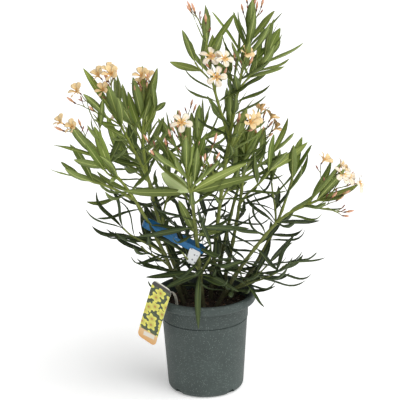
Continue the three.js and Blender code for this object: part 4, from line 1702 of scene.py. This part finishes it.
# %% Print on the front of the tag
tag_print, tree, shader, place = new_material("tag_print", 0.3, Coat_Weight=0.3)
on_card = put(tree, "ShaderNodeUVMap", uv_map="print").outputs["UV"]
square = put(tree, "ShaderNodeVectorMath",
             {0: on_card, 1: (1.0, tag_half_length / tag_half_width, 1.0)}, operation="MULTIPLY")
picture = use(tree, PRINTED_BLOSSOM, Vector=square.outputs[0], Petal_colour=shade(226, 220, 92),
              Eye_colour=shade(186, 122, 44), Leaf_colour=shade(58, 72, 36), Shift=0.3,
              Blooms_across=2.1)
uv = put(tree, "ShaderNodeSeparateXYZ", {0: on_card})
across, up_card = uv.outputs["X"], uv.outputs["Y"]


EDGE_SOFTNESS = 0.006


def above(height, slant=0.0):
    """A mask that is 1 above a line across the card, which may slant."""
    line_at = math_node(tree, "MULTIPLY_ADD", across, slant, height)
    over = math_node(tree, "SUBTRACT", up_card, line_at)
    return put(tree, "ShaderNodeMapRange",
               {"Value": over, "From Min": -EDGE_SOFTNESS,
                "From Max": EDGE_SOFTNESS}).outputs["Result"]


warm = put(tree, "ShaderNodeMapRange", {"Value": up_card, "From Min": 0.0, "From Max": 0.26})
band = mix_colours(tree, warm.outputs["Result"], shade(226, 166, 92), shade(240, 214, 164))
low_strip = math_node(tree, "SUBTRACT", above(0.055, 0.05), above(0.125, 0.05))
in_middle = put(tree, "ShaderNodeMapRange",
                {"Value": math_node(tree, "ABSOLUTE", math_node(tree, "SUBTRACT", across, 0.56)),
                 "From Min": 0.3, "From Max": 0.27}).outputs["Result"]
white_strip = mix_colours(tree, math_node(tree, "MULTIPLY", low_strip, in_middle), band,
                          shade(234, 228, 212))
with_picture = mix_colours(tree, above(0.16, 0.02), white_strip, picture.outputs["Colour"])
with_dark = mix_colours(tree, above(0.915, 0.03), with_picture, shade(52, 44, 36))
with_edge = mix_colours(tree, above(0.985), with_dark, shade(236, 232, 220))
drive(tree, shader, Base_Color=with_edge)
card_white = new_material("card_white", 0.4, Base_Color=shade(226, 222, 210))[0]
clothe(tag, [tag_print, card_white])
finish_piece(tag, "tag_card", "picture_tag")

# %% [markdown]
# ## The tag's tongue and the loop label
# The tongue is a narrow white strip that runs from behind the card, over the rim and into the
# compost. The loop label is a blue band drawn round the stems, with a white head in front where
# its ends lock. Cloth could be simulated for both, but they are stiff and short, and their routes
# are known. Both are flat bands, so one function sweeps a thin closed strip along a path.


# %% A flat band along a path
def band_object(name, path, across, half_width, half_thick, closed=False):
    """across is the direction of the band's width. The strip has a crowned outer face."""
    points, faces = [], []
    count = len(path)
    for i, place in enumerate(path):
        after = path[(i + 1) % count] if closed else path[min(i + 1, count - 1)]
        before = path[i - 1] if closed or i else path[0]
        normal = (after - before).cross(across).normalized()
        for side, out in ((-1, 1), (-0.8, 1.3), (0.8, 1.3), (1, 1), (1, -1), (-1, -1)):
            points.append(place + across * side * half_width + normal * out * half_thick)
    sides = 6
    for i in range(count if closed else count - 1):
        a, b = i * sides, (i + 1) % count * sides
        for j in range(sides):
            k = (j + 1) % sides
            faces.append((a + j, a + k, b + k, b + j))
    if not closed:
        faces.append(tuple(reversed(range(sides))))
        faces.append(tuple(range(sides * (count - 1), sides * count)))
    piece = mesh_object(name, points, faces)
    shade_by_angle(piece)
    return piece


# %% The tongue
card_back = tag_centre + tag_long * 36 * MM - tag_flat * 1.4 * MM + tag_wide * 4 * MM
tongue_path = smooth_line([card_back] + [Vector(stop) * MM for stop in (
    (-70, -62, 230), (-59, -51, 214), (-56, -48, 178))], 2 * MM)
tongue = band_object("tag_tongue_strip", tongue_path, Vector((0.68, -0.73, 0)).normalized(),
                     4 * MM, 0.45 * MM)
tongue_plastic, tree, shader, place = new_material("tongue_plastic", 0.45)
tinge = use(tree, MOTTLE, Vector=place, Colour=shade(226, 222, 208), Size=0.01, Strength=0.12)
drive(tree, shader, Base_Color=tinge.outputs["Colour"])
clothe(tongue, [tongue_plastic])
finish_piece(tongue, "tag_tongue", "tag_tongue")

# %% The blue band
band_centre, ((band_long, half_run), (band_wide, half_room), (band_up, half_band)) = \
    flat_axes("loop_strap")
BAND_THICK = 0.45 * MM
BEND_STEPS = 24
STRAIGHT_STEPS = 12
RIPPLE = 0.9 * MM
turn_radius = half_room - BAND_THICK
loop = []
for end in (1, -1):
    middle = band_centre + band_long * end * (half_run - half_room)
    for i in range(BEND_STEPS + 1):
        turn = math.pi * (i / BEND_STEPS - 0.5)
        loop.append(middle + (band_long * math.cos(turn) + band_wide * math.sin(turn))
                    * end * turn_radius)
    other = band_centre - band_long * end * (half_run - half_room) + band_wide * end * turn_radius
    bend_end = loop[-1]
    for i in range(1, STRAIGHT_STEPS):
        t = i / STRAIGHT_STEPS
        ripple = RIPPLE * math.sin(t * 3 * math.pi) * math.sin(t * math.pi)
        loop.append(bend_end.lerp(other, t) - band_wide * end * ripple)
strap = band_object("loop_label_band", loop, band_up, half_band, BAND_THICK, closed=True)

strap_blue, tree, shader, place = new_material("strap_blue", 0.36)
fade = use(tree, MOTTLE, Vector=place, Colour=shade(24, 108, 164), Size=0.014, Strength=0.22)
creases = use(tree, GRAIN, Vector=place, Size=0.006, Depth=0.0006)
drive(tree, shader, Base_Color=fade.outputs["Colour"], Normal=creases.outputs["Normal"])
clothe(strap, [strap_blue])
finish_piece(strap, "strap_blue", "loop_strap")

# %% The white head
head_centre, ((head_long, head_half_length), (head_wide, head_half_width), (head_flat, _)) = \
    facing_axes("loop_head")
head = card("loop_label_head", head_centre, head_long, head_wide, head_flat,
            head_half_length + 1.5 * MM, head_half_width + 1.5 * MM, 5 * MM, 1.6 * MM, 0.6 * MM,
            taper=0.3)
strap_white, tree, shader, place = new_material("strap_white", 0.42)
marks = use(tree, SPECKS, Vector=place, Colour=shade(238, 240, 240), Speck=shade(120, 124, 128),
            Size=0.0048, Share=0.16)
drive(tree, shader, Base_Color=marks.outputs["Colour"])
clothe(head, [strap_white, strap_white])
finish_piece(head, "strap_white", "loop_head")

# %% [markdown]
# ## Floor, light and camera
# The floor is plain and nearly white, and glows faintly, so that only a soft shadow is left beside
# the pot. A studio would use large soft boxes. Here a broad sun from the front right and a white
# sky do the same with less noise. The camera looks slightly down at the front.

# %% Floor
FLOOR_REACH = 15
floor = mesh_object("floor", [(-FLOOR_REACH, -FLOOR_REACH, 0), (FLOOR_REACH, -FLOOR_REACH, 0),
                              (FLOOR_REACH, FLOOR_REACH, 0), (-FLOOR_REACH, FLOOR_REACH, 0)],
                    [(0, 1, 2, 3)])
clothe(floor, [new_material("floor_pale", 0.85, Base_Color=(0.98, 0.98, 0.98, 1),
                            Emission_Color=(1, 1, 1, 1), Emission_Strength=0.3)[0]])

# %% Light
scene = bpy.context.scene
scene.view_settings.view_transform = "Standard"
world = bpy.data.worlds.new("pale_sky")
world.use_nodes = True
sky = world.node_tree.nodes["Background"]
sky.inputs["Color"].default_value = (1, 1, 1, 1)
sky.inputs["Strength"].default_value = 0.36
scene.world = world
sun = bpy.data.objects.new("soft_sun", bpy.data.lights.new("soft_sun", "SUN"))
sun.data.energy = 2.4
sun.data.angle = math.radians(70)
sun.rotation_euler = (math.radians(36), 0, math.radians(58))
scene.collection.objects.link(sun)

# %% Camera
camera = bpy.data.objects.new("camera", bpy.data.cameras.new("camera"))
camera.data.lens = 140
camera.matrix_world = (Matrix.Translation((-0.006, -3.0, 1.343))
                       @ Matrix.Rotation(math.radians(72.6), 4, "X")
                       @ Matrix.Rotation(math.radians(-1.0), 4, "Z"))
scene.collection.objects.link(camera)
scene.camera = camera
